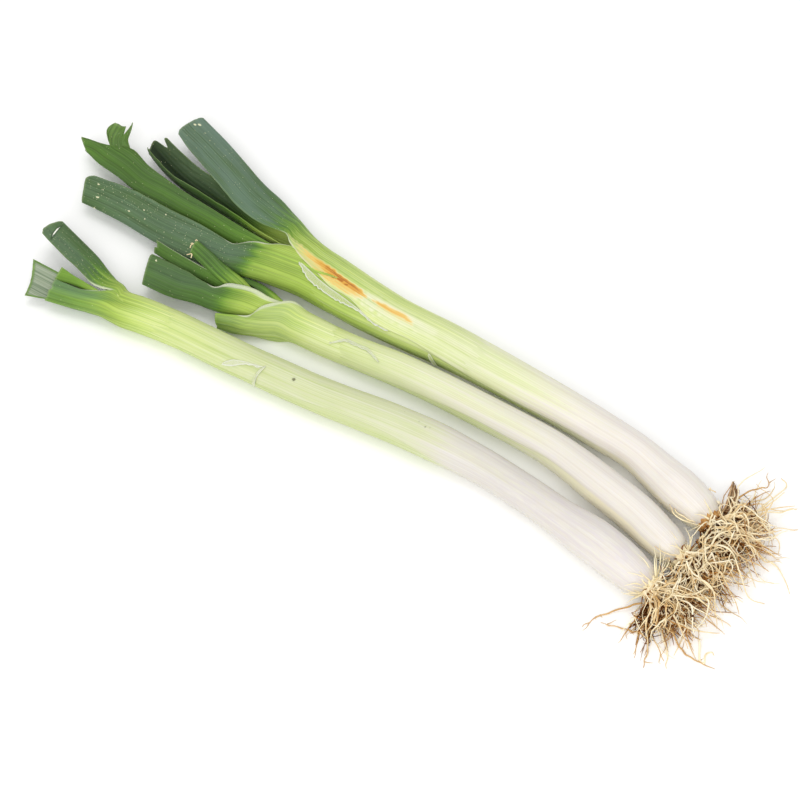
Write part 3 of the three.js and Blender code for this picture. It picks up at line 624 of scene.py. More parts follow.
        cut=[(-1, 0), (0, 0), (0.5, 0.6), (1, 0)], bloom=0, specks=0, streak=4),
    "front_leaf_2": dict(
        sections=[Fold((-206, -86, 8), (-208, -80, 16), (-204, -87, 9), swell=0.8, wrap=0.4),
                  Fold((-225, -88, 9), (-226, -79, 19), (-226, -92.5, 9.4), swell=0.8, wrap=0.4),
                  Fold((-240, -91, 10), (-245, -80.2, 19), (-240, -98.4, 9.4), swell=0.8, wrap=0.4),
                  Fold((-259, -93.5, 11.4), (-266, -82, 19), (-254.4, -105.4, 9.4), swell=0.8, wrap=0.4)],
        tone=[0.9, 0.98, 1.05, 1.05], rim=[0] * 4,
        cut=[(-1, 0), (0, 0), (1, 0)], bloom=0.2, specks=0, streak=4, grey=0.95, row=1.0),
}

# Outlines in plan of the dried, torn place on the back stalk's outer sheath, and how strong the first
# stain is along x.
STAIN = [(-134, 43), (-123, 39), (-107, 36), (-84.4, 34.6), (-73.4, 33), (-61, 32), (-51, 30), (-49, 27),
         (-54, 24), (-65, 22), (-83.6, 23), (-92, 25), (-98, 26), (-110.7, 27.5), (-117.7, 29.5),
         (-124.6, 33), (-134, 41)]
STAIN_DEPTH = [(-134, -118, -100, -88, -60, -50), (0.16, 0.3, 0.66, 0.98, 1, 0.5)]
SECOND_STAIN = [(-46, 28.5), (-38, 31), (-30, 31), (-21, 32), (-12, 30), (-11, 28), (-22, 26),
                (-32, 25.5), (-41, 26)]
CRACK = [(-93, 26.2), (-88, 27.6), (-83, 28.8), (-76, 29.8), (-70, 29.2), (-65, 27.6), (-70, 28.4),
         (-76, 28.9), (-83, 27.9), (-88, 26.8)]
PALLOR = [(-66, 29), (-52, 32), (-38, 33), (-20, 34), (6, 33), (8, 29), (-12, 25), (-26, 23), (-44, 22),
          (-64, 24)]
# Single cream flecks on the leaves: plan position and radius.
FLECKS = {
    "back_leaf_4": [(-278, 0.2, 0.9), (-271.3, -8.7, 1.1), (-267.7, -16.5, 0.9), (-271.7, -2, 0.5),
                    (-266.1, 2.6, 0.5), (-253.4, -2, 0.6), (-243.4, -5.8, 0.9), (-242, -4.2, 0.6),
                    (-233.7, 0.7, 0.6), (-239.1, 0.1, 0.6), (-228.7, -4.9, 0.7), (-217.1, 5.9, 0.6)],
    "back_leaf_1": [(-257.5, 85.6, 1.1), (-255, 88, 1.2), (-246, 84, 0.4), (-238, 80, 0.5)],
    "middle_leaf_2": [(-195.7, -29.4, 0.9)],
}
# A split near the tip of the front stalk's upper leaf.
SCAR = [(-266.6, -62.2), (-269.4, -57.4), (-270.8, -52), (-270.4, -46.6), (-269, -52), (-267.8, -57)]
# The open tear beside the stain, and how deep it is.
SLIT_DEPTH = 2.2
SLIT = [(-104, 26), (-95, 26.6), (-85, 29.2), (-77, 30.4), (-78, 29.2), (-86, 27.2), (-92, 25.2), (-99, 24.6)]


def inside(points, outline):
    """How far each plan position is inside an outline, in millimetres; negative outside."""
    outline = np.array(outline, float)
    closest = np.full(points.shape[:-1], 1e9)
    within = np.zeros(points.shape[:-1], bool)
    for a, b in zip(outline, np.roll(outline, -1, 0)):
        edge = b - a
        t = np.clip(((points - a) @ edge) / (edge @ edge), 0, 1)
        closest = np.minimum(closest, np.linalg.norm(points - a - t[..., None] * edge, axis=-1))
        crosses = (a[1] > points[..., 1]) != (b[1] > points[..., 1])
        where = a[0] + (points[..., 1] - a[1]) / (edge[1] if edge[1] else 1e-9) * edge[0]
        within ^= crosses & (points[..., 0] < where)
    return np.where(within, closest, -closest)


def leaf_grid(stalk, spec, s, rng):
    """Rows of points from sheath to tip; each column across the leaf ends where the cut crosses it.

    Also how far along the leaf each point is, and how far along each section is.
    """
    net = np.array([section.points(stalk, s) for section in spec["sections"]])
    steps = np.linalg.norm(np.diff(net, axis=0), axis=-1).mean(1)
    knots = np.concatenate([[0], np.cumsum(steps)])
    short = np.interp(s, *zip(*spec["cut"])) + rng.uniform(0, 0.4, len(s))
    rows = int(knots[-1] / spec.get("row", LEAF_ROW)) + 2
    at = np.linspace(0, 1, rows)[:, None] * (knots[-1] - short)[None, :]
    points = np.empty((rows, len(s), 3))
    for j in range(len(s)):
        points[:, j] = smooth(knots, net[:, j], at[:, j])
    for _ in range(2):
        points[:, 1:-1] = (points[:, :-2] + 2 * points[:, 1:-1] + points[:, 2:]) / 4
    return points, at, knots


def torn_marks(rng, plan, at, s):
    """The stain, the paleness and the slit of the dried, torn place on the back stalk's outer sheath."""
    fray = wander(rng, at, 7) * wander(rng, s * 40, 6)
    stain = np.zeros(at.shape)
    along = np.interp(plan[..., 0], *STAIN_DEPTH)
    for outline, strength, fade in ((STAIN, along, 1.4), (SECOND_STAIN, 0.66, 2.6)):
        depth = inside(plan, outline) + 0.5 * fray
        upper = soft(depth - inside(plan + (0, 0.8), outline) - 0.5 * fray, -0.3, 0.9)
        spot = soft(depth, -fade, 2.0) * (0.5 + 0.3 * upper)
        spot = spot + 0.22 * upper * np.exp(-((depth - 1.5) / 1.1) ** 2)
        stain = np.maximum(stain, spot * strength)
    stain = np.maximum(stain, 1.5 * soft(inside(plan, CRACK) + 0.3 * fray, -0.5, 0.5))
    return stain, soft(inside(plan, PALLOR) + fray, -3, 3), soft(inside(plan, SLIT), -0.3, 0.5)


def leaf_piece(name, spec, material, seed):
    """A leaf as a closed sheet: smooth points, ripples and ribs on them, then its colours."""
    rng = np.random.default_rng(seed)
    node = spec.get("node", name)
    halves = spec.get("halves", LEAF_HALVES)
    s = np.linspace(-1, 1, 2 * halves + 1)
    outer, at, knots = leaf_grid(node.split("_")[0], spec, s, rng)
    normals = grid_normals(outer)
    last = len(outer) * 3 // 4
    inward = (outer[last, 0] + outer[last, -1]) / 2 - outer[last, halves]
    if normals[last, halves] @ inward > 0:
        normals = -normals
    bladed = np.interp(at, knots, [isinstance(section, Fold) for section in spec["sections"]])
    ripple = wander(rng, at[:, :1], RIPPLE_WAVE) * np.cos(s * 2.5 + rng.uniform(0, 6))
    ripple = ripple + 0.4 * wander(rng, at[:, :1], FLUTTER_WAVE) * s
    ribs = LEAF_RIB_HEIGHT * wander(rng, s, LEAF_RIB_WAVE / halves)
    outer = outer + (RIPPLE_HEIGHT * ripple * bladed + ribs)[..., None] * normals
    plan = outer[..., :2]
    stain, slit, pallor, scar, fleck = (np.zeros(at.shape) for _ in range(5))
    if node == "back_leaf_1":
        stain, pallor, slit = torn_marks(rng, plan, at, s)
        outer = outer - normals * (slit * SLIT_DEPTH)[..., None]
    if node == "front_leaf_1":
        scar = np.clip((inside(plan, SCAR) + 0.9) / 1.6, 0, 1)
    for x, y, radius in FLECKS.get(node, []):
        away = np.hypot(plan[..., 0] - x, (plan[..., 1] - y) * 1.4)
        fleck = np.maximum(fleck, mark_strength(away, radius))
    outer[..., 2] = np.maximum(outer[..., 2], LEAF_CLEARANCE)
    thickness = LEAF_THICKNESS * (0.5 + 0.5 * (1 - np.abs(s) ** 4))
    thickness = thickness + KEEL_THICKNESS * np.exp(-(s / 0.09) ** 2)
    inner = outer - normals * thickness[None, :, None]
    inner[..., 2] = np.maximum(inner[..., 2], SHEET_CLEARANCE)
    half_width = np.linalg.norm(np.diff(outer[last, halves:], axis=0), axis=-1).sum()
    broad, narrow = (wander(rng, s * half_width, wave) for wave in STREAK_WAVES)
    tone = np.interp(at + spec["streak"] * (0.6 * broad + 0.4 * narrow), knots, spec["tone"])
    across = run_length(outer, 1)
    rim_width = np.interp(at, knots, spec["rim"])
    to_edge = across[:, -1:] - across
    film = soft(rim_width - to_edge, 0, 1.2) * soft(rim_width, 0.2, 0.7)
    faced = soft(np.abs(s), 0.93, 0.8) * soft(at, knots[-1] - 1.2, knots[-1] - 3)
    attributes = dict(
        tone=tone, film=film, fleck=fleck, stain=stain, pallor=pallor, scar=scar,
        # edge: a lighter line along the blade's edges, a painted highlight.
        edge=soft(np.abs(s), 0.97, 1.0) * bladed, cut=soft(at[-1:] - at, 1.5, 0.2),
        # dark: painted shade, the shadowed inside of the fold.
        dark=np.interp(s, *zip(*spec.get("dark", [(0, 0)]))) * soft(tone, 0.95, 1.35),
        grey=spec.get("grey", 0) * faced * bladed,
        bloom=spec["bloom"] * soft(tone - spec.get("waxed", WAX_TONE), 0, 0.3),
        specks=spec["specks"] * soft(tone, 0.7, 1.1))
    attributes = {key: both_sides(values, at.shape) for key, values in attributes.items()}
    attributes["inner"] = np.repeat([0.0, 1.0], at.size)
    uv = np.stack([across - across[:, halves:halves + 1], at], -1).reshape(-1, 2)
    verts, faces = closed_sheet(outer, inner)
    piece = new_object(f"{name}_blade", verts, faces, np.vstack([uv, uv]), attributes)
    finish_piece(piece, node, material)


# ------------------------------------------------------------------ roots

# Each tuft: its root plate's centre and radius, the way the stalk's end faces, how many pale pointed
# rootlets stand around its collar, how brown that is, and how far its roots reach in each direction seen
# from above.
TUFTS = {
    "back": dict(plate=(235.6, 24.8, 11.5), radius=8.5, facing=-18, rootlets=8, collar=0.5,
                 reach=[(-58, 24), (-40, 38), (-18, 52), (-6, 66), (14, 60), (38, 56), (60, 62), (75, 62),
                        (88, 46)]),
    "middle": dict(plate=(235.4, -8.2, 10.5), radius=7.8, facing=-20, rootlets=16, collar=0.14,
                   reach=[(-72, 26), (-55, 34), (-36, 46), (-12, 46), (14, 60), (34, 46), (52, 30)]),
    "front": dict(plate=(231, -39, 10.5), radius=7.8, facing=-16, rootlets=28, collar=0.06,
                  reach=[(-66, 28), (-52, 38), (-36, 45), (-20, 58), (-8, 58), (16, 46), (38, 34)]),
}
# Layers of roots from the floor up: how many, how steeply they rise as they leave the plate, how much of
# the reach they cover, how brown they are near the plate and at their ends, how thick, and the height they
# keep below.
# The lower layers are browner near the plate: soiled roots, and also painted shade deep in the tuft.
ROOT_LAYERS = [
    dict(count=130, rise=(-0.9, 0.0), covers=(0.25, 0.85), brown=(1.0, 0.46), base=(0.3, 0.6), below=9),
    dict(count=115, rise=(-0.3, 0.5), covers=(0.3, 0.95), brown=(0.8, 0.34), base=(0.32, 0.66), below=16),
    dict(count=84, rise=(0.1, 0.95), covers=(0.35, 1.12), brown=(0.1, 0.3), base=(0.42, 0.78), below=25),
]
# How many of a layer's roots aim near the middle of the fan, and how strongly its roots curl.
GATHERED_SHARE = 0.25
CURLS = [0.04, 0.09, 0.17]
CURL_SHARES = [0.35, 0.4, 0.25]
# How fast roots sag, and how far from the plate they reach the colour of their ends.
SAG = 0.022
BROWN_REACH = 48
PLATE_DOME = 3.2
# How strongly roots leave the plate outwards from its middle and straight ahead.
OUTWARD, AHEAD = 0.4, 0.25
# The sideways drift a root starts with, how much of it each step keeps and how much each step adds.
FIRST_DRIFT, DRIFT_KEPT, DRIFT_ADDED = 0.7, 0.82, 0.57
# How roots thin out towards their tips, and how uneven their thickness and their colours are.
TAPER_POWER = 0.7
UNEVEN = 0.12
# Millimetres in the material from vertex to vertex around a root, and from one root's start to the next's.
UV_AROUND, UV_APART = 0.8, 7.3
STRAND_STEPS = 26
STRAND_SIDES = 5
DRAWN_SIDES = 6
ROOTLET_SIDES = 7
LATERAL_SIDES = 4
LATERALS = 240
LATERAL_STEPS = 12
CORE_STRANDS = 152
ROOTLET_STEPS = 12
STUB_STEPS = 9
STRAY_STEPS = 24
STRAY_LATERALS = 3
CRUMBS = 26
# A crumb's shape: a short course with a radius at each point.
CRUMB_COURSE = [(-0.9, 0, 0), (-0.5, 0, 0.1), (0.1, 0.1, 0.1), (0.6, 0, 0), (0.9, 0, 0)]
CRUMB_RADII = [0.2, 0.75, 1, 0.7, 0.2]
PLATE_AROUND = 72
PLATE_ROWS = 30
# How far a root plate starts behind its centre, how long it is, and how many lumps its collar has.
PLATE_BEHIND, PLATE_LENGTH = 5.5, 9.5
COLLAR_LUMPS = 11
STRAY_ROOTS = {
    "stray_root_1": [(229, -47.5, 5), (224, -53.5, 3), (215.7, -64, 1.2), (209.6, -75.4, 0.8),
                     (207.8, -83, 0.8)],
    "stray_root_2": [(246.3, -65.7, 1), (239, -65, 1), (232.4, -67.3, 1), (223.4, -71, 1), (214.5, -73.6, 1)],
    "stray_root_3": [(240.5, -56, 4), (245.4, -65, 1.5), (251, -76, 0.8), (253.5, -84.2, 0.8)],
    "stray_root_4": [(252.9, -52, 4), (263.4, -57.7, 1.2), (271.6, -60.4, 0.8), (279.5, -59.5, 0.8),
                     (290, -58.7, 0.8)],
    "stray_root_5": [(238.2, 48.4, 14), (242.3, 64.3, 10), (248.1, 74.7, 6), (242.1, 87.4, 2)],
}
# Long roots that stand out from the tufts.
LONG_ROOTS = {
    "front": [[(245.3, -50.6, 4), (254.4, -60.8, 1.5), (261.3, -68.1, 0.8), (266.6, -75.7, 0.8)],
              [(271.4, -48.1, 3), (281.9, -59.8, 0.8), (280.9, -51.2, 1.5), (285.5, -49.9, 0.8)],
              [(236, -36, 17), (243, -40, 20), (254, -30, 19), (262, -16, 16), (268, -4, 13)],
              [(235, -42, 14), (246, -52, 14), (258, -50, 12), (270, -44, 6), (280, -34, 2)]],
    "middle": [[(240, -4, 16), (247, 6, 22), (258, 8, 22), (270, 2, 17), (282, -6, 8), (291, 1, 1)],
               [(240, -12, 15), (249, -20, 20), (260, -19, 19), (269, -26, 12), (276, -34, 4)],
               [(239, -8, 18), (245, 2, 23), (246, 14, 24), (252, 24, 22), (262, 30, 16)]],
    "back": [[(232.5, 38, 16), (227.4, 37.3, 19), (222.5, 39.3, 21), (222.8, 41.5, 22), (226, 42.2, 20)],
             [(241, 30, 17), (251.2, 46.8, 12), (255.1, 62.8, 7), (257.4, 84.9, 2), (250.9, 90.2, 1)],
             [(246, 36, 16), (256.1, 52, 9), (266.9, 68.3, 3), (272.1, 75.3, 1)],
             [(244, 28, 18), (254.9, 34.9, 13), (265.5, 46.2, 6), (280.1, 63, 1)],
             [(246, 22, 16), (262, 26, 10), (275.6, 28.6, 3), (288.5, 26.4, 1), (300, 16.2, 1)],
             [(241, 17, 18), (240, 8, 22), (246, -4, 23), (256, -10, 20), (264, -22, 12)],
             [(236, 18, 8), (231, 17.4, 11), (223.7, 15.7, 16), (218.8, 10.7, 19.4), (212, 11.6, 21),
              (207, 17, 20)],
             [(236, 19, 9), (231, 19, 12), (222.5, 16, 17), (216.2, 13.6, 19.6), (210.3, 16.4, 18)]],
}
LONG_ROOTS["middle"].append([(237.9, -5.7, 10), (232.5, -10.4, 16), (226.4, -16.1, 20), (217.5, -17.8, 22)])
# Pale pointed rootlets that stand up from the collars.
POINTED_ROOTLETS = {
    "front": [[(228, -31.6, 15), (223.2, -25, 20), (217, -19, 24)],
              [(228.6, -30, 15), (224.5, -22, 20), (218.4, -14, 22)],
              [(227, -34, 17), (220, -32.6, 25), (212.6, -32, 28)],
              [(227, -38, 18), (220.4, -42.6, 24), (214.5, -46.3, 26)],
              [(227, -42, 15), (221.6, -46.6, 20), (217, -53, 21)],
              [(227, -45, 11), (221.3, -51.4, 14), (218, -55, 14)],
              [(229, -34, 19), (226, -32, 25), (222, -27, 28)],
              [(230, -30, 17), (231, -24, 21), (229, -18, 22)]],
    "middle": [[(233.4, -3, 16), (227.2, -5.3, 22), (220, -4.4, 27)],
               [(233.6, -8, 19), (229, -10, 23), (224, -13, 25)],
               [(234, 0, 14), (230, 5, 17), (224, 8, 19)]],
    "back": [[(233.6, 22, 20), (229, 20, 23), (225, 17, 24)]],
}
# Growing roots turn back at ROOTS_TURN, and none passes ROOTS_END.
ROOTS_TURN = 302
ROOTS_END = 306


def tubes(paths, radii, sides):
    """Closed tubes along many paths at once: paths is (n, steps, 3), radii (n, steps)."""
    n, steps = paths.shape[:2]
    tangent = np.gradient(paths, axis=1)
    tangent /= np.maximum(np.linalg.norm(tangent, axis=-1, keepdims=True), 1e-9)
    normal = np.empty_like(paths)
    start = np.cross(tangent[:, 0], [0.3, 0.2, 1.0])
    normal[:, 0] = start / np.linalg.norm(start, axis=-1, keepdims=True)
    for k in range(1, steps):
        moved = normal[:, k - 1] - (normal[:, k - 1] * tangent[:, k]).sum(-1, keepdims=True) * tangent[:, k]
        normal[:, k] = moved / np.maximum(np.linalg.norm(moved, axis=-1, keepdims=True), 1e-9)
    other = np.cross(tangent, normal)
    turn = np.arange(sides) / sides * 2 * math.pi
    around = normal[:, :, None] * np.cos(turn)[:, None] + other[:, :, None] * np.sin(turn)[:, None]
    verts = paths[:, :, None] + around * radii[:, :, None, None]
    verts[..., 2] = np.maximum(verts[..., 2], TUBE_CLEARANCE)
    one = np.array(grid_faces(steps, sides, closed=True))
    offsets = np.arange(n)[:, None, None] * steps * sides
    faces = (one[None] + offsets).reshape(-1, 4).tolist()
    for i in range(n):
        first, last = i * steps * sides, (i + 1) * steps * sides - sides
        faces.append([first + k for k in range(sides)][::-1])
        faces.append([last + k for k in range(sides)])
    return verts.reshape(-1, 3), faces


def grow(rng, starts, directions, lengths, curl, fall, radii, below=25.0, ahead_of=None):
    """Paths of roots that wander as they grow, sag to the floor and stay on it and ahead of a line in x."""
    n, steps = radii.shape
    paths = np.empty((n, steps, 3))
    paths[:, 0] = starts
    heading = directions / np.linalg.norm(directions, axis=-1, keepdims=True)
    drift = rng.normal(size=(n, 3)) * FIRST_DRIFT
    ahead_of = starts[:, 0] - 1 if ahead_of is None else ahead_of
    step = (lengths / (steps - 1))[:, None]
    for k in range(1, steps):
        drift = DRIFT_KEPT * drift + DRIFT_ADDED * rng.normal(size=(n, 3))
        heading = heading + drift * curl[:, None] * step
        heading[:, 2] -= fall * step[:, 0]
        heading /= np.linalg.norm(heading, axis=-1, keepdims=True)
        position = paths[:, k - 1] + heading * step
        low = position[:, 2] < radii[:, k] * 0.9
        position[low, 2] = radii[low, k] * 0.9
        heading[low, 2] = np.abs(heading[low, 2]) * 0.3
        high = position[:, 2] > below
        heading[high, 2] = -np.abs(heading[high, 2])
        back = position[:, 0] < ahead_of
        heading[back, 0] = np.abs(heading[back, 0])
        over = position[:, 0] > ROOTS_TURN
        heading[over, 0] = -np.abs(heading[over, 0]) * 0.5
        paths[:, k] = position
    paths[..., 0] = np.minimum(paths[..., 0], ROOTS_END)
    return paths


class Bundle:
    """Many tubes gathered into one mesh."""

    def __init__(self):
        self.verts, self.faces, self.uvs, self.age, self.pale = [], [], [], [], []
        self.count = 0

    def add(self, paths, radii, sides, age, pale):
        """Add tubes, with how old (0 cream to 1 soil brown) and how pale they are."""
        verts, faces = tubes(paths, radii, sides)
        n, steps = paths.shape[:2]
        self.faces += [[i + self.count for i in face] for face in faces]
        self.verts.append(verts)
        length = np.linalg.norm(np.diff(paths, axis=1), axis=-1).sum(1)
        along = np.linspace(0, 1, steps)[None, :] * length[:, None] + np.arange(n)[:, None] * UV_APART
        uv = np.stack(np.broadcast_arrays(np.arange(sides) * UV_AROUND, along[..., None]), -1)
        self.uvs.append(uv.reshape(-1, 2))
        for store, value in ((self.age, age), (self.pale, pale)):
            value = np.asarray(value, float)
            value = value[:, None] if value.ndim == 1 else value
            store.append(np.repeat(np.broadcast_to(value, (n, steps)).ravel(), sides))
        self.count += len(verts)

    def build(self, name, node, material):
        piece = new_object(name, np.concatenate(self.verts), self.faces, np.concatenate(self.uvs),
                           dict(age=np.concatenate(self.age), pale=np.concatenate(self.pale)))
        finish_piece(piece, node, material)


def taper(n, steps, base, tip, rng):
    """Radii that shrink from base, one for each root or one for all, to tip."""
    along = np.linspace(0, 1, steps)[None, :]
    base = np.broadcast_to(base, n)
    radii = base[:, None] * (1 - along) ** TAPER_POWER + tip
    return radii * (1 + UNEVEN * rng.normal(size=(n, steps)))


def plate_frame(spec):
    """A root plate's centre, the level way it faces and the level direction across it."""
    facing = math.radians(spec["facing"])
    ahead = np.array([math.cos(facing), math.sin(facing), 0])
    return np.array(spec["plate"], float), ahead, np.array([-ahead[1], ahead[0], 0])


def spokes(side, turn):
    """Directions in the plane of a root plate, at angles around it."""
    return side * np.cos(turn)[:, None] + UP * np.sin(turn)[:, None]


def plate_points(rng, spec, n, spread):
    """Random points on a plate's domed face, and how each lies out from its middle, 1 long at the rim."""
    plate, ahead, side = plate_frame(spec)
    radius = spec["radius"]
    r = radius * np.sqrt(rng.uniform(0.02, 1, n)) * spread
    out = spokes(side, rng.uniform(0, 2 * math.pi, n))
    depth = PLATE_DOME * np.sqrt(np.maximum(1 - (r / radius / 1.05) ** 2, 0))
    return plate + out * r[:, None] + ahead * depth[:, None], out * (r / radius)[:, None]


def aims(rng, angles, n):
    """Directions seen from above for n roots: mostly even over the fan, some gathered near its middle."""
    middle = (angles[0] + angles[-1]) / 2 + rng.uniform(-8, 8)
    gathered = rng.triangular(angles[0], middle, angles[-1], n)
    return np.where(rng.uniform(size=n) < GATHERED_SHARE, gathered, rng.uniform(angles[0], angles[-1], n))


def root_layers(rng, spec, bundle):
    """The layers of roots that fill a tuft's fan; returns their paths."""
    plate, ahead, _ = plate_frame(spec)
    angles, reach = zip(*spec["reach"])
    grown = []
    for layer in ROOT_LAYERS:
        n = layer["count"]
        starts, rim = plate_points(rng, spec, n, 1.0)
        towards = aims(rng, angles, n)
        flat = np.stack([np.cos(np.radians(towards)), np.sin(np.radians(towards)), np.zeros(n)], -1)
        rise = UP * rng.uniform(*layer["rise"], n)[:, None]
        base = rng.uniform(*layer["base"], n)
        radii = taper(n, STRAND_STEPS, base, 0.14, rng)
        lengths = np.interp(towards, angles, reach) * rng.uniform(*layer["covers"], n)
        curl = rng.choice(CURLS, n, p=CURL_SHARES)
        directions = flat + OUTWARD * rim + AHEAD * ahead + rise
        paths = grow(rng, starts, directions, lengths, curl, SAG, radii, layer["below"], plate[0] + 0.5)
        far = np.clip(np.linalg.norm(paths - plate, axis=-1) / BROWN_REACH, 0, 1)
        near, end = layer["brown"]
        age = near + (end - near) * far + UNEVEN * rng.normal(size=n)[:, None] - 0.3 * (base - 0.5)[:, None]
        bundle.add(paths, radii, STRAND_SIDES, np.clip(age, 0, 1.05), np.zeros(n))
        grown.append(paths)
    return np.concatenate(grown)


def drawn_roots(rng, stalk, bundle):
    """The long roots and the pointed rootlets that have courses of their own."""
    along = np.linspace(0, 1, STRAND_STEPS)[None]
    for course in LONG_ROOTS[stalk]:
        path = through(course, STRAND_STEPS)
        sway = np.stack([wander(rng, np.arange(STRAND_STEPS), 11) for _ in range(3)], -1) * 0.7
        path = (path + sway)[None]
        path[..., 2] = np.maximum(path[..., 2], STRAND_CLEARANCE)
        width = taper(1, STRAND_STEPS, 0.6, 0.18, rng)
        bundle.add(path, width, DRAWN_SIDES, 0.05 + 0.3 * along ** 2, [0.2])
    for course in POINTED_ROOTLETS[stalk]:
        path = through(course, ROOTLET_STEPS)[None]
        width = np.linspace(1, 0.1, ROOTLET_STEPS)[None, :] * rng.uniform(0.6, 0.95)
        bundle.add(path, width, ROOTLET_SIDES, [rng.uniform(0, 0.1)], [rng.uniform(0.5, 1)])


def side_roots(rng, paths, bundle):
    """Thin roots that branch off the others."""
    n = LATERALS
    parent, at = rng.integers(0, len(paths), n), rng.integers(5, STRAND_STEPS - 3, n)
    starts = paths[parent, at]
    directions = (paths[parent, at + 1] - starts) + rng.normal(size=(n, 3)) * 1.6 * np.array([1, 1, 0.5])
    lengths = rng.uniform(7, 30, n)
    radii = taper(n, LATERAL_STEPS, 0.012 * lengths + rng.uniform(0.06, 0.2, n), 0.08, rng)
    thin = grow(rng, starts, directions, lengths, rng.uniform(0.08, 0.24, n), 0.03, radii)
    age = np.clip(0.25 + 0.25 * rng.normal(size=n), 0, 1)
    bundle.add(thin, radii, LATERAL_SIDES, age, rng.uniform(0, 0.5, n))


def tangled_core(rng, spec, bundle):
    """The dark brown tangle at a tuft's heart: soil-brown roots that also stand in as painted shade deep
    among the strands.
    """
    plate, ahead, _ = plate_frame(spec)
    first, last = spec["reach"][0][0], spec["reach"][-1][0]
    n = CORE_STRANDS
    starts, rim = plate_points(rng, spec, n, 0.9)
    towards = np.radians(rng.uniform(first + 8, last - 8, n))
    flat = np.stack([np.cos(towards), np.sin(towards), rng.uniform(-0.9, 0.3, n)], -1)
    radii = taper(n, STRAND_STEPS, rng.uniform(0.3, 0.6, n), 0.16, rng)
    lengths, curl = rng.uniform(16, 38, n), rng.uniform(0.16, 0.36, n)
    core = grow(rng, starts, flat + 0.3 * rim + ahead, lengths, curl, 0.05, radii, 13, plate[0] + 3)
    bundle.add(core, radii, STRAND_SIDES, rng.uniform(0.85, 1.1, n), np.zeros(n))


def collar_rootlets(rng, spec, bundle):
    """Pale pointed rootlets around the collar, some lying back over the bulb."""
    plate, ahead, side = plate_frame(spec)
    n = spec["rootlets"]
    out = spokes(side, rng.uniform(-0.3, math.pi + 0.3, n))
    starts = plate + out * (spec["radius"] * 0.96) - ahead * rng.uniform(0.5, 3.2, n)[:, None]
    directions = out * rng.uniform(0.7, 1.2, n)[:, None] + ahead * rng.uniform(-0.9, 0.7, n)[:, None]
    radii = np.linspace(1, 0.12, STUB_STEPS)[None, :] ** 0.8 * rng.uniform(0.35, 0.72, n)[:, None]
    lengths, curl = rng.uniform(5, 15, n), rng.uniform(0.01, 0.08, n)
    stubs = grow(rng, starts, directions, lengths, curl, 0.004, radii, 26, 200)
    dark = rng.uniform(size=n) > 0.85
    age = np.where(dark, 0.7, rng.uniform(0, 0.12, n))
    bundle.add(stubs, radii, STRAND_SIDES, age, np.where(dark, 0, rng.uniform(0.5, 1, n)))


def soil_crumbs(rng, paths, bundle):
    """Crumbs of soil held on the roots."""
    n = CRUMBS
    held = paths[rng.integers(0, len(paths), n), rng.integers(10, STRAND_STEPS - 1, n)]
    size = rng.uniform(0.35, 0.95, n)[:, None, None]
    turned = np.array(CRUMB_COURSE)[None] * size + rng.normal(size=(n, len(CRUMB_COURSE), 3)) * 0.12 * size
    radii = np.array(CRUMB_RADII) * size[:, :, 0] * rng.uniform(0.8, 1.2, (n, len(CRUMB_RADII)))
    bundle.add(held[:, None] + turned, radii, DRAWN_SIDES, np.full(n, 1.1), np.zeros(n))


def tuft_piece(stalk, spec, material, seed):
    """All the roots that grow from one plate, as one mesh."""
    rng = np.random.default_rng(seed)
    bundle = Bundle()
    paths = root_layers(rng, spec, bundle)
    drawn_roots(rng, stalk, bundle)
    side_roots(rng, paths, bundle)
    tangled_core(rng, spec, bundle)
    collar_rootlets(rng, spec, bundle)
    soil_crumbs(rng, paths, bundle)
    bundle.build(f"{stalk}_root_tuft", f"{stalk}_roots", material)


# Dried threads at the tip of the thin leaf of the middle stalk.
DRY_TIP = [[(-179, -2.6, 20), (-181.4, -3.2, 21.2), (-182.8, -5.6, 21.4), (-182, -8, 20.6)],
           [(-180, -5, 20.4), (-182.4, -4.2, 22), (-183.4, -5.4, 22.2)],
           [(-176, -14, 20), (-178, -11, 20), (-180.6, -13.6, 19.6)],
           [(-180.4, -0.6, 20.4), (-182.8, 0.2, 21.4), (-182.6, -1.4, 22)]]
DRY_TIP_STEPS = 14


def dry_tip_piece(material, seed):
    rng = np.random.default_rng(seed)
    bundle = Bundle()
    for course in DRY_TIP:
        path = through(course, DRY_TIP_STEPS)[None]
        bundle.add(path, taper(1, DRY_TIP_STEPS, 0.15, 0.3, rng), DRAWN_SIDES, [0.3], [0.35])
    bundle.build("middle_leaf_4_dry_tip", "middle_leaf_4", material)


def stray_piece(node, course, material, seed):
    """A root that lies apart, with three short side roots."""
    rng = np.random.default_rng(seed)
    steps = np.arange(STRAY_STEPS)
    sway = np.stack([wander(rng, steps, 9), wander(rng, steps, 7), np.zeros(STRAY_STEPS)], -1) * 0.5
    path = through(course, STRAY_STEPS) + sway
    path[:, 2] = np.maximum(path[:, 2], STRAND_CLEARANCE)
    bundle = Bundle()
    bundle.add(path[None], taper(1, STRAY_STEPS, 0.5, 0.16, rng), DRAWN_SIDES, [0.45], [0])
    n = STRAY_LATERALS
    at = rng.integers(6, 20, n)
    directions = (path[at + 1] - path[at]) + rng.normal(size=(n, 3)) * np.array([1, 1, 0.1])
    thin = taper(n, LATERAL_STEPS, 0.22, 0.08, rng)
    side = grow(rng, path[at], directions, rng.uniform(4, 9, n), np.full(n, 0.15), 0.03, thin)
    bundle.add(side, thin, LATERAL_SIDES, np.full(n, 0.5), np.full(n, 0.2))
    bundle.build(f"{node}_strand", node, material)


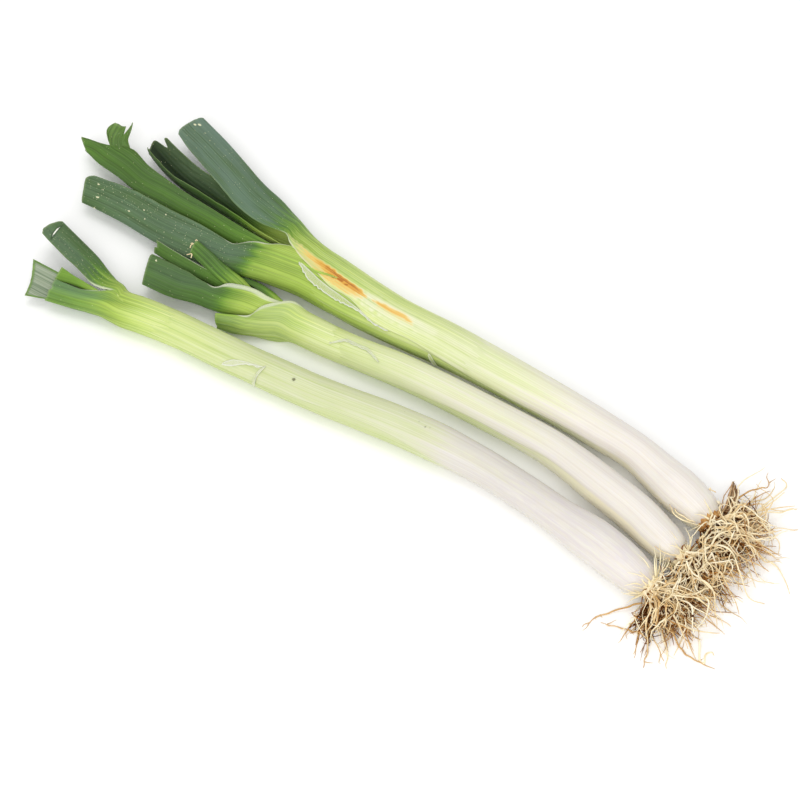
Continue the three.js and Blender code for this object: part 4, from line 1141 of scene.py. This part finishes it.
def plate_piece(stalk, spec, material, seed):
    """The root plate: a rough tan dome the roots grow from, with a collar of dry scale around it."""
    rng = np.random.default_rng(seed)
    plate, ahead, side = plate_frame(spec)
    radius = spec["radius"]
    turn = np.linspace(0, 2 * math.pi, PLATE_AROUND, endpoint=False)
    t = np.linspace(0, 1, PLATE_ROWS)
    shape = (PLATE_ROWS, PLATE_AROUND)
    depth = PLATE_LENGTH * np.sin(t * math.pi / 2) - PLATE_BEHIND
    width = (radius + 0.5) * np.cos(t * math.pi / 2) ** 0.55 + 0.02
    waves = np.sin(turn * COLLAR_LUMPS + 1)[None, :] * (t < 0.5)[:, None]
    lumps = 1 + 0.02 * rng.normal(size=shape) + 0.06 * waves
    lumps[-1] = 1
    out = spokes(side, turn)[None] * (width[:, None] * lumps)[..., None]
    points = plate + ahead * depth[:, None, None] + out
    points[..., 2] = np.maximum(points[..., 2], PLATE_CLEARANCE)
    uv = np.stack(np.broadcast_arrays(turn[None, :] * radius, depth[:, None]), -1).reshape(-1, 2)
    age = np.broadcast_to(spec["collar"] + 0.75 * soft(t, 0.3, 0.8)[:, None], shape)
    pale = np.broadcast_to((0.8 - 1.5 * spec["collar"]) * soft(t, 0.5, 0.1)[:, None], shape)
    piece = new_object(f"{stalk}_root_crown", points.reshape(-1, 3), capped_faces(*shape), uv,
                       dict(age=age, pale=pale))
    finish_piece(piece, f"{stalk}_root_plate", material)


# ------------------------------------------------------------------ loose skins

SHEET_THICKNESS = 0.3
SKIN_COLUMNS = 15
# Rows of a loose skin's mesh per millimetre, and how far its ragged edge strays, in degrees.
SKIN_ROWS_PER_MM = 1.6
RAGGED = 0.9
HUSK_ROWS = 80
HUSK_COLUMNS = 33
# Loose skins on the shafts: along x, the two angles they lie between. rim is how white their border is.
SKINS = {
    "back_dry_skin": dict(stalk="back", slot="dry_skin", lift=1.0, tone=0.6, edges=[
        (-108.5, 72.5, 75), (-102, 62, 72), (-95, 52, 68), (-87.5, 48, 63.5), (-78, 45, 60), (-69, 43, 58),
        (-61, 44, 55), (-53, 45, 51), (-47, 42.5, 47), (-41, 37, 40), (-36.6, 32.5, 35), (-25, 30.5, 32)]),
    "middle_film": dict(stalk="middle", slot="film", lift=0.5, tone=0.34, rim=0.5, edges=[
        (-51, 50, 54), (-46, 66, 74), (-41, 80, 92), (-32, 78, 88), (-25, 77, 88), (-17, 62, 68),
        (-14, 54, 57)]),
    "back_shaft_shred": dict(node="back_shaft", stalk="back", slot="shaft", lift=0.8, tone=0.5, edges=[
        (7.6, 14, 20), (9.2, 2, 17), (10.8, -8, 10), (12.4, -16, 2), (13.8, -20, -6), (14.8, -21, -14)]),
    "front_film_curl": dict(node="front_film", stalk="front", slot="film", lift=0.8, tone=0.3, edges=[
        (-76.4, 6, 16), (-75.6, -8, 34), (-74.9, -12, 44), (-74.2, 30, 52), (-73, 47, 60), (-72, 58, 68),
        (-71, 70, 75)]),
    "front_film": dict(stalk="front", slot="film", lift=0.6, tone=0.3, edges=[
        (-101, 20, 26), (-98, 25, 40), (-94, 30, 52), (-89, 44, 58), (-84, 55, 62), (-76, 62, 66),
        (-72, 67, 69)]),
}
# The two long sides of the husk, from the bulb to its frayed end.
HUSK = [((236.2, 33, 14.5), (239.5, 35, 12.5)), ((235.6, 40.4, 17.6), (240.8, 41, 15)),
        ((233.8, 46, 18.4), (239.4, 48.4, 16)), ((232.2, 51, 18), (237, 55.3, 15.6)),
        ((230.4, 56, 16.8), (234, 60.4, 14.6)), ((228.6, 60.6, 15.6), (231.6, 64, 13.6))]


def sheet_piece(name, node, outer, material, attributes):
    """A closed thin sheet from a grid of points."""
    verts, faces = closed_sheet(outer, outer - grid_normals(outer) * SHEET_THICKNESS)
    verts[:, 2] = np.maximum(verts[:, 2], SHEET_CLEARANCE)
    uv = np.stack([run_length(outer, 1), run_length(outer, 0)], -1).reshape(-1, 2)
    attributes = {key: both_sides(values, outer.shape[:2]) for key, values in attributes.items()}
    piece = new_object(name, verts, faces, np.vstack([uv, uv]), attributes)
    finish_piece(piece, node, material)


def skin_piece(name, spec, material, seed):
    """A loose skin on a shaft, with one long edge ragged and a little curled up."""
    rng = np.random.default_rng(seed)
    x, low, high = (np.array(v, float) for v in zip(*spec["edges"]))
    rows = int(12 + SKIN_ROWS_PER_MM * (x[-1] - x[0]))
    at = np.linspace(x[0], x[-1], rows)
    low, high = np.interp(at, x, low), np.interp(at, x, high)
    low = low + RAGGED * wander(rng, at, 5)
    t = np.linspace(0, 1, SKIN_COLUMNS)
    angle = low[:, None] + (high - low)[:, None] * t
    curl = 0.5 * (1 - t) ** 3 + 0.25 * wander(rng, at, 8)[:, None] * np.sin(math.pi * t)
    points = on_shaft(spec["stalk"], at[:, None], angle, spec["lift"] + curl)
    if grid_normals(points)[rows // 2, SKIN_COLUMNS // 2, 2] < 0:
        points = points[:, ::-1]
    width = np.linalg.norm(np.diff(points, axis=1), axis=-1).sum(1)[:, None]
    border = spec.get("rim", 1) * soft(np.minimum(t, 1 - t)[None, :] * width, 1.2, 0.2) * (1 - 0.4 * t)
    sheet_piece(f"{name}_sheet", spec.get("node", name), points, material,
                dict(tone=spec["tone"], border=border))


def husk_piece(material, seed):
    """The back stalk's papery husk, crumpled across and frayed at its end."""
    rng = np.random.default_rng(seed)
    near, far = zip(*HUSK)
    last = len(HUSK) - 1
    across = np.linspace(0, 1, HUSK_COLUMNS)
    end = last * (1 - 0.42 * np.abs(wander(rng, across * 30, 8)) - 0.3 * np.abs(across - 0.45))
    at = np.linspace(0, 1, HUSK_ROWS)[:, None] * end[None, :]
    near, far = (smooth(range(last + 1), side, at.ravel()).reshape(*at.shape, 3) for side in (near, far))
    points = near + (far - near) * across[None, :, None]
    crumple = np.sin(across[None, :] * 15 + 0.8 * at)
    crumple = crumple + 0.6 * wander(rng, at * 10, 14) * np.cos(across * 6)[None, :]
    swell = 0.55 * crumple + 1.6 * np.sin(math.pi * across)[None, :]
    points = points + grid_normals(points) * swell[..., None]
    sheet_piece("back_husk_scale", "back_husk", points, material,
                dict(age=0.2 + 0.12 * crumple + 0.2 * at / last))


# ------------------------------------------------------------------ materials

def srgb(red, green, blue):
    """A colour as a screen shows it, 0 to 255, in the linear values the shader takes."""
    return tuple(((c / 255 + 0.055) / 1.055) ** 2.4 for c in (red, green, blue))


class Nodes:
    """Short forms for building one material's node tree."""

    def __init__(self, name):
        self.material = bpy.data.materials.new(name)
        self.material.use_nodes = True
        self.tree = self.material.node_tree
        self.shader = self.tree.nodes["Principled BSDF"]

    def add(self, kind, **settings):
        node = self.tree.nodes.new(kind)
        for key, value in settings.items():
            setattr(node, key, value)
        return node

    def link(self, value, socket):
        if isinstance(value, bpy.types.NodeSocket):
            self.tree.links.new(value, socket)
        elif isinstance(value, tuple) and len(value) == 3 and socket.type == "RGBA":
            socket.default_value = (*value, 1)
        else:
            socket.default_value = value

    def math(self, operation, *values, clamp=False):
        node = self.add("ShaderNodeMath", operation=operation, use_clamp=clamp)
        for value, socket in zip(values, node.inputs):
            self.link(value, socket)
        return node.outputs[0]

    def times(self, a, b):
        return self.math("MULTIPLY", a, b)

    def scaled(self, value, factor, offset):
        return self.math("MULTIPLY_ADD", value, factor, offset)

    def centred(self, value, amount):
        """A value of 0 to 1, scaled so that it adds amount / 2 at the most and takes as much away."""
        return self.scaled(value, amount, -amount / 2)

    def total(self, *values):
        result = values[0]
        for value in values[1:]:
            result = self.math("ADD", result, value)
        return result

    def attribute(self, name):
        return self.add("ShaderNodeAttribute", attribute_name=name).outputs["Fac"]

    def fibres(self):
        return self.add("ShaderNodeUVMap", uv_map=FIBRES).outputs[0]

    def first_part(self, kind, value):
        """The x of a vector, or the red of a colour."""
        split = self.add(kind)
        self.link(value, split.inputs[0])
        return split.outputs[0]

    def uv(self, across, along, offset):
        mapping = self.add("ShaderNodeMapping")
        self.link(self.fibres(), mapping.inputs["Vector"])
        mapping.inputs["Scale"].default_value = (across, along, 1)
        mapping.inputs["Location"].default_value = (*offset, 0)
        return mapping.outputs[0]

    def noise(self, across, along, offset=(0, 0), detail=3, roughness=0.55):
        """Noise with so many features per metre across the fibres and along them."""
        node = self.add("ShaderNodeTexNoise")
        self.link(self.uv(across, along, offset), node.inputs["Vector"])
        for key, value in (("Scale", 1), ("Detail", detail), ("Roughness", roughness)):
            node.inputs[key].default_value = value
        return node.outputs["Fac"]

    def cells(self, across, along, offset=(0, 0), feature="F1"):
        node = self.add("ShaderNodeTexVoronoi", feature=feature, voronoi_dimensions="2D")
        self.link(self.uv(across, along, offset), node.inputs["Vector"])
        return node.outputs

    def net(self, across, along, width):
        """The lines between cells."""
        gap = self.cells(across, along, feature="DISTANCE_TO_EDGE")["Distance"]
        return self.ramp(gap, [(0.0, 1.0), (width, 0.0)])

    def ramp(self, value, stops):
        node = self.add("ShaderNodeValToRGB")
        elements = node.color_ramp.elements
        while len(elements) < len(stops):
            elements.new(0.5)
        for element, (position, colour) in zip(elements, stops):
            element.position = position
            element.color = (*colour, 1) if isinstance(colour, tuple) else (colour, colour, colour, 1)
        self.link(value, node.inputs[0])
        return node.outputs[0]

    def shades(self, value, *stops):
        """A ramp through colours: each stop is its position, then red, green and blue, 0 to 255."""
        return self.ramp(value, [(position, srgb(*colour)) for position, *colour in stops])

    def mix(self, factor, a, b, blend="MIX"):
        node = self.add("ShaderNodeMix", data_type="RGBA", blend_type=blend)
        for value, socket in ((factor, 0), (a, 6), (b, 7)):
            self.link(value, node.inputs[socket])
        return node.outputs[2]

    def paint(self, under, over, *masks):
        """Lay a colour, 0 to 255, over another as far as one or two masks together say."""
        return self.mix(masks[0] if len(masks) == 1 else self.times(*masks), under, srgb(*over))

    def surface(self, colour, settings, height, strength, distance):
        """Finish the material: its colour, the shader's settings and its relief."""
        for key, value in {"Base Color": colour, **settings}.items():
            self.link(value, self.shader.inputs[key])
        node = self.add("ShaderNodeBump")
        for key, value in (("Height", height), ("Strength", strength), ("Distance", distance)):
            self.link(value, node.inputs[key])
        self.link(node.outputs[0], self.shader.inputs["Normal"])
        return self.material


# Colours from the white of the root end to the blue-green of the blades, by tone.
TISSUE_COLOURS = [(0.0, (229, 223, 215)), (0.08, (227, 223, 206)), (0.16, (222, 223, 190)),
                  (0.28, (211, 219, 164)), (0.4, (200, 213, 138)), (0.52, (184, 204, 112)),
                  (0.66, (163, 187, 84)), (0.8, (137, 166, 68)), (0.92, (112, 148, 54)),
                  (1.05, (88, 126, 44)), (1.2, (74, 108, 38)), (1.4, (70, 99, 46)),
                  (1.6, (78, 104, 62)), (1.8, (86, 109, 82)), (2.0, (96, 118, 98))]
TONE_TOP = 2.0
# Metres from vein to vein.
VEIN_SPACING = 0.0019
PALE_LINE = (238, 240, 212)
WAX = (114, 137, 128)
PEARLY_SHEEN = (217, 208, 213)
UNDERSIDE_SHADE_LINE = (228, 213, 178)
UNDERSIDE_SHADE_SKIN = (238, 229, 203)
RIDGE_HIGHLIGHT = (236, 236, 206)
GROOVE_SHADOW = (150, 156, 84)
INNER_FACE = (120, 136, 100)
SHADED = (122, 132, 128)
SPECK = (224, 222, 180)
FLECK = (228, 226, 186)
LEAF_EDGE_HIGHLIGHT = (150, 172, 96)
CUT_END = (176, 192, 140)
MEMBRANE = (226, 229, 205)
DARK_MARK = (82, 84, 48)
SCAR_RIM = (44, 66, 34)
SCAR_MIDDLE = (236, 238, 226)
PALE_SKIN = (234, 232, 208)
# Two sizes of specks: cells per metre across and along, the share of cells with a speck, and its radius.
SPECK_SIZES = [(95, 60, 0.5, 0.09), (230, 190, 0.04, 0.11)]


def shaft_features(n, colour, lines):
    """Painted pearly sheen in patches, painted beige shade on the strip, and the seam along it with a painted
    highlight and a painted shadow, which only the shafts have.
    """
    # Painted sheen: pale lilac patches laid into the colour of the shafts.
    sheen = n.ramp(n.noise(480, 70, (6, 1), detail=5), [(0.4, 0.0), (0.6, 1.0)])
    colour = n.paint(colour, PEARLY_SHEEN, n.times(sheen, n.attribute("pearl_sheen")), 0.5)
    # Painted shade: warm beige over the lower strip towards the bulb.
    colour = n.mix(n.attribute("underside_shade"), colour, n.mix(lines, srgb(*UNDERSIDE_SHADE_LINE), srgb(*UNDERSIDE_SHADE_SKIN)))
    # The seam: a painted highlight just above it and a painted shadow just below it.
    seam = n.scaled(n.attribute("seam"), 0.25, 0.5)
    ridge_highlight = n.ramp(seam, [(0.44, 0.0), (0.5, 0.0), (0.53, 1.0), (0.6, 0.35), (0.72, 0.0)])
    groove_shadow = n.ramp(seam, [(0.36, 0.0), (0.46, 1.0), (0.5, 0.0)])
    for line, paint, amount in ((ridge_highlight, RIDGE_HIGHLIGHT, 0.4), (groove_shadow, GROOVE_SHADOW, 0.35)):
        colour = n.paint(colour, paint, n.times(line, n.attribute("seamed")), amount)
    return colour


def spots_and_flecks(n, colour):
    """Cream specks scattered over the leaves, and the single flecks."""
    for across, along, share, radius in SPECK_SIZES:
        spots = n.cells(across, along, (across, 2))
        limit = n.scaled(n.attribute("specks"), -share, 1.0)
        chosen = n.math("GREATER_THAN", n.first_part("ShaderNodeSeparateColor", spots["Color"]), limit)
        reach = n.total(spots["Distance"], n.centred(n.noise(1100, 800, detail=2), 0.12))
        spot = n.times(chosen, n.ramp(reach, [(radius * 0.6, 1.0), (radius, 0.0)]))
        colour = n.paint(colour, SPECK, spot, 0.85)
    fleck = n.total(n.times(n.attribute("fleck"), 0.5), n.centred(n.noise(900, 500, detail=2), 0.08))
    return n.paint(colour, FLECK, n.ramp(fleck, [(0.46, 0.0), (0.5, 0.9)]))


def damage(n, colour, strands):
    """Dark marks, the scar near a leaf's tip, and the dried, stained place."""
    mark = n.times(n.attribute("mark"), 0.5)
    colour = n.paint(colour, DARK_MARK, n.ramp(mark, [(0.42, 0.0), (0.48, 0.4), (0.5, 0.85)]))
    scar = n.attribute("scar")
    colour = n.paint(colour, SCAR_RIM, n.ramp(scar, [(0.1, 0.0), (0.4, 0.8)]))
    colour = n.paint(colour, SCAR_MIDDLE, n.ramp(scar, [(0.66, 0.0), (0.78, 1.0)]))
    colour = n.paint(colour, PALE_SKIN, n.attribute("pallor"), n.ramp(strands, [(0.35, 0.2), (0.62, 0.8)]))
    stain = n.attribute("stain")
    fibre = n.noise(1000, 12, (4, 4), detail=4, roughness=0.7)
    blot = n.total(stain, n.centred(fibre, 1.1), n.centred(n.noise(300, 60, (4, 4), detail=4), 0.3))
    brown = n.shades(blot, (0.05, 232, 230, 198), (0.25, 234, 216, 158), (0.45, 229, 196, 112),
                     (0.65, 223, 174, 80), (0.85, 211, 150, 60), (1.0, 176, 104, 40))
    dried = n.ramp(n.total(n.centred(fibre, 0.9), stain), [(0.06, 0.0), (0.5, 0.95)])
    return n.mix(n.times(dried, n.ramp(stain, [(0.0, 0.0), (0.1, 1.0)])), colour, brown)


def tissue_material(name, gloss, shine, glow, veins):
    """Onion tissue: long fibres, colour by tone, wax, cream specks, membranes and dried stains."""
    n = Nodes(name)
    fine = n.noise(1500, 15, detail=4)
    middle = n.noise(430, 6, (3, 1))
    broad = n.noise(90, 14, (7, 2))
    uneven = (n.centred(fine, 0.20), n.centred(middle, 0.26), n.centred(broad, 0.14))
    level = n.math("DIVIDE", n.total(n.attribute("tone"), *uneven), TONE_TOP, clamp=True)
    colour = n.ramp(level, [(at / TONE_TOP, srgb(*shade)) for at, shade in TISSUE_COLOURS])

    # veins, and fibres lighter and darker than the tissue between them
    across = n.first_part("ShaderNodeSeparateXYZ", n.fibres())
    wave = n.math("SINE", n.scaled(across, 2 * math.pi / VEIN_SPACING, n.times(middle, 12.0)))
    strands = n.noise(780, 4, (2, 8), detail=4, roughness=0.65)
    strands = n.scaled(n.times(wave, n.noise(300, 5, (1, 5))), 0.11 * veins, strands)
    grain = n.ramp(strands, [(0.3, 0.24), (0.5, 0.5), (0.7, 0.74)])
    colour = n.mix(0.3 + 0.55 * veins, colour, grain, "OVERLAY")
    clouds = n.ramp(n.noise(75, 30, (3, 7), detail=4, roughness=0.6), [(0.3, 0.4), (0.5, 0.5), (0.7, 0.6)])
    colour = n.mix(0.7 * veins, colour, clouds, "OVERLAY")
    pale_lines = n.ramp(n.noise(1000, 3, (9, 3)), [(0.55, 0.0), (0.7, 1.0)])
    pale_zone = n.ramp(level, [(0.0, 0.1), (0.09, 0.5), (0.2, 0.36), (0.3, 0.1), (0.45, 0.04)])
    colour = n.paint(colour, PALE_LINE, pale_lines, pale_zone)

    # wax on the blades, and fine lines on the white parts
    waxy = n.ramp(n.total(broad, n.centred(strands, 0.4)), [(0.3, 0.1), (0.65, 1.0)])
    colour = n.paint(colour, WAX, n.times(n.attribute("bloom"), waxy), 0.42)
    white = n.ramp(level, [(0.0, 1.0), (0.09, 0.0)])
    lines = n.ramp(n.noise(1300, 5, (4, 9)), [(0.34, 0.93), (0.58, 1.0)])
    colour = n.mix(n.times(white, 0.8), colour, n.mix(1.0, colour, lines, "MULTIPLY"))

    colour = shaft_features(n, colour, lines)
    colour = n.paint(colour, INNER_FACE, n.attribute("inner"), 0.15)
    # Painted shade: the colour multiplied darker where the dark attribute says, on the shafts and inside one
    # leaf's fold.
    colour = n.mix(n.attribute("dark"), colour, n.mix(1.0, colour, srgb(*SHADED), "MULTIPLY"))
    colour = spots_and_flecks(n, colour)
    # Painted highlight: a lighter line along the blade edges.
    colour = n.paint(colour, LEAF_EDGE_HIGHLIGHT, n.attribute("edge"), 0.22)
    colour = n.paint(colour, CUT_END, n.attribute("cut"), 0.3)
    net = n.net(900, 220, 0.12)
    film = n.attribute("film")
    colour = n.paint(colour, MEMBRANE, film, n.scaled(net, 0.25, 0.6))
    face = n.shades(n.noise(1100, 12, (8, 3), detail=4), (0.3, 98, 116, 92), (0.5, 140, 152, 130),
                    (0.7, 178, 186, 166))
    colour = n.mix(n.attribute("grey"), colour, face)
    colour = damage(n, colour, strands)

    settings = {"Roughness": n.scaled(middle, 0.2, gloss), "Specular IOR Level": shine,
                "Subsurface Weight": glow, "Subsurface Radius": (0.0035, 0.003, 0.0015),
                "Subsurface Scale": 1}
    height = n.total(n.times(fine, 0.5), n.times(wave, 0.12 * veins), n.times(net, n.times(film, 0.6)))
    return n.surface(colour, settings, height, 0.35, 0.0003)


def membrane_material(name, net_colour):
    """Dry, nearly clear onion skin: pale net veins over the tissue colour beneath."""
    n = Nodes(name)
    fine = n.noise(1500, 40, detail=4)
    blotch = n.noise(160, 60, (5, 5))
    net = n.net(560, 150, 0.11)
    under = n.shades(n.total(n.attribute("tone"), n.centred(fine, 0.16)), (0.0, 226, 230, 198),
                     (0.3, 214, 223, 164), (0.5, 198, 212, 128), (0.7, 176, 198, 96))
    cover = n.total(n.times(net, 0.85), n.centred(blotch, 0.6), n.centred(fine, 0.3),
                    n.times(n.attribute("border"), 0.9))
    colour = n.paint(under, net_colour, n.ramp(cover, [(0.05, 0.05), (0.85, 1.0)]))
    settings = {"Roughness": 0.35, "Specular IOR Level": 0.5, "Subsurface Weight": 0.2,
                "Subsurface Radius": (0.002, 0.002, 0.001), "Subsurface Scale": 1}
    return n.surface(colour, settings, n.total(net, n.times(blotch, 1.5)), 0.6, 0.0004)


def root_material(name):
    """Roots from cream to soil brown, lined along their length and soiled in patches."""
    n = Nodes(name)
    patch = n.noise(60, 90, detail=4)
    grain = n.noise(700, 500, (3, 3))
    level = n.total(n.attribute("age"), n.centred(patch, 0.5), n.centred(grain, 0.25))
    colour = n.shades(level, (0.0, 252, 242, 216), (0.2, 246, 228, 188), (0.38, 222, 186, 128),
                      (0.56, 182, 130, 70), (0.76, 126, 78, 36), (1.0, 78, 42, 14))
    colour = n.paint(colour, (252, 240, 200), n.attribute("pale"))
    settings = {"Roughness": 0.8, "Specular IOR Level": 0.03}
    return n.surface(colour, settings, n.total(grain, patch), 0.5, 0.0003)


def husk_material(name):
    """Dead papery scale, tan to reddish brown, with darker creases."""
    n = Nodes(name)
    lines = n.noise(900, 40, detail=4)
    blotch = n.noise(220, 180, (2, 6), detail=4)
    level = n.total(n.attribute("age"), n.centred(lines, 0.6), n.centred(blotch, 0.7))
    colour = n.shades(level, (0.1, 206, 176, 132), (0.4, 170, 126, 86), (0.65, 134, 84, 58),
                      (0.9, 92, 50, 40))
    return n.surface(colour, {"Roughness": 0.7}, n.total(lines, blotch), 0.8, 0.0006)


# ------------------------------------------------------------------ assembly

make_camera()
make_studio()
make_floor()
shaft_skin = tissue_material("shaft_tissue", gloss=0.3, shine=0.4, glow=0.2, veins=0.35)
leaf_skin = tissue_material("leaf_tissue", gloss=0.4, shine=0.22, glow=0.05, veins=0.7)
root_skin = root_material("onion_root")
membrane = membrane_material("onion_membrane", (238, 240, 222))

# The random draws of every piece start from a seed of its own.
for seed, stalk in enumerate(SHAFTS, 100):
    shaft_piece(stalk, shaft_skin, seed)
for seed, (name, spec) in enumerate(LEAVES.items()):
    leaf_piece(name, spec, leaf_skin, seed)
for seed, (stalk, spec) in enumerate(TUFTS.items()):
    plate_piece(stalk, spec, root_skin, 200 + seed)
    tuft_piece(stalk, spec, root_skin, 210 + seed)
dry_tip_piece(root_skin, 230)
for seed, (node, course) in enumerate(STRAY_ROOTS.items(), 220):
    stray_piece(node, course, root_skin, seed)
for seed, (name, spec) in enumerate(SKINS.items(), 300):
    skin_piece(name, spec, membrane, seed)
husk_piece(husk_material("onion_husk"), 310)
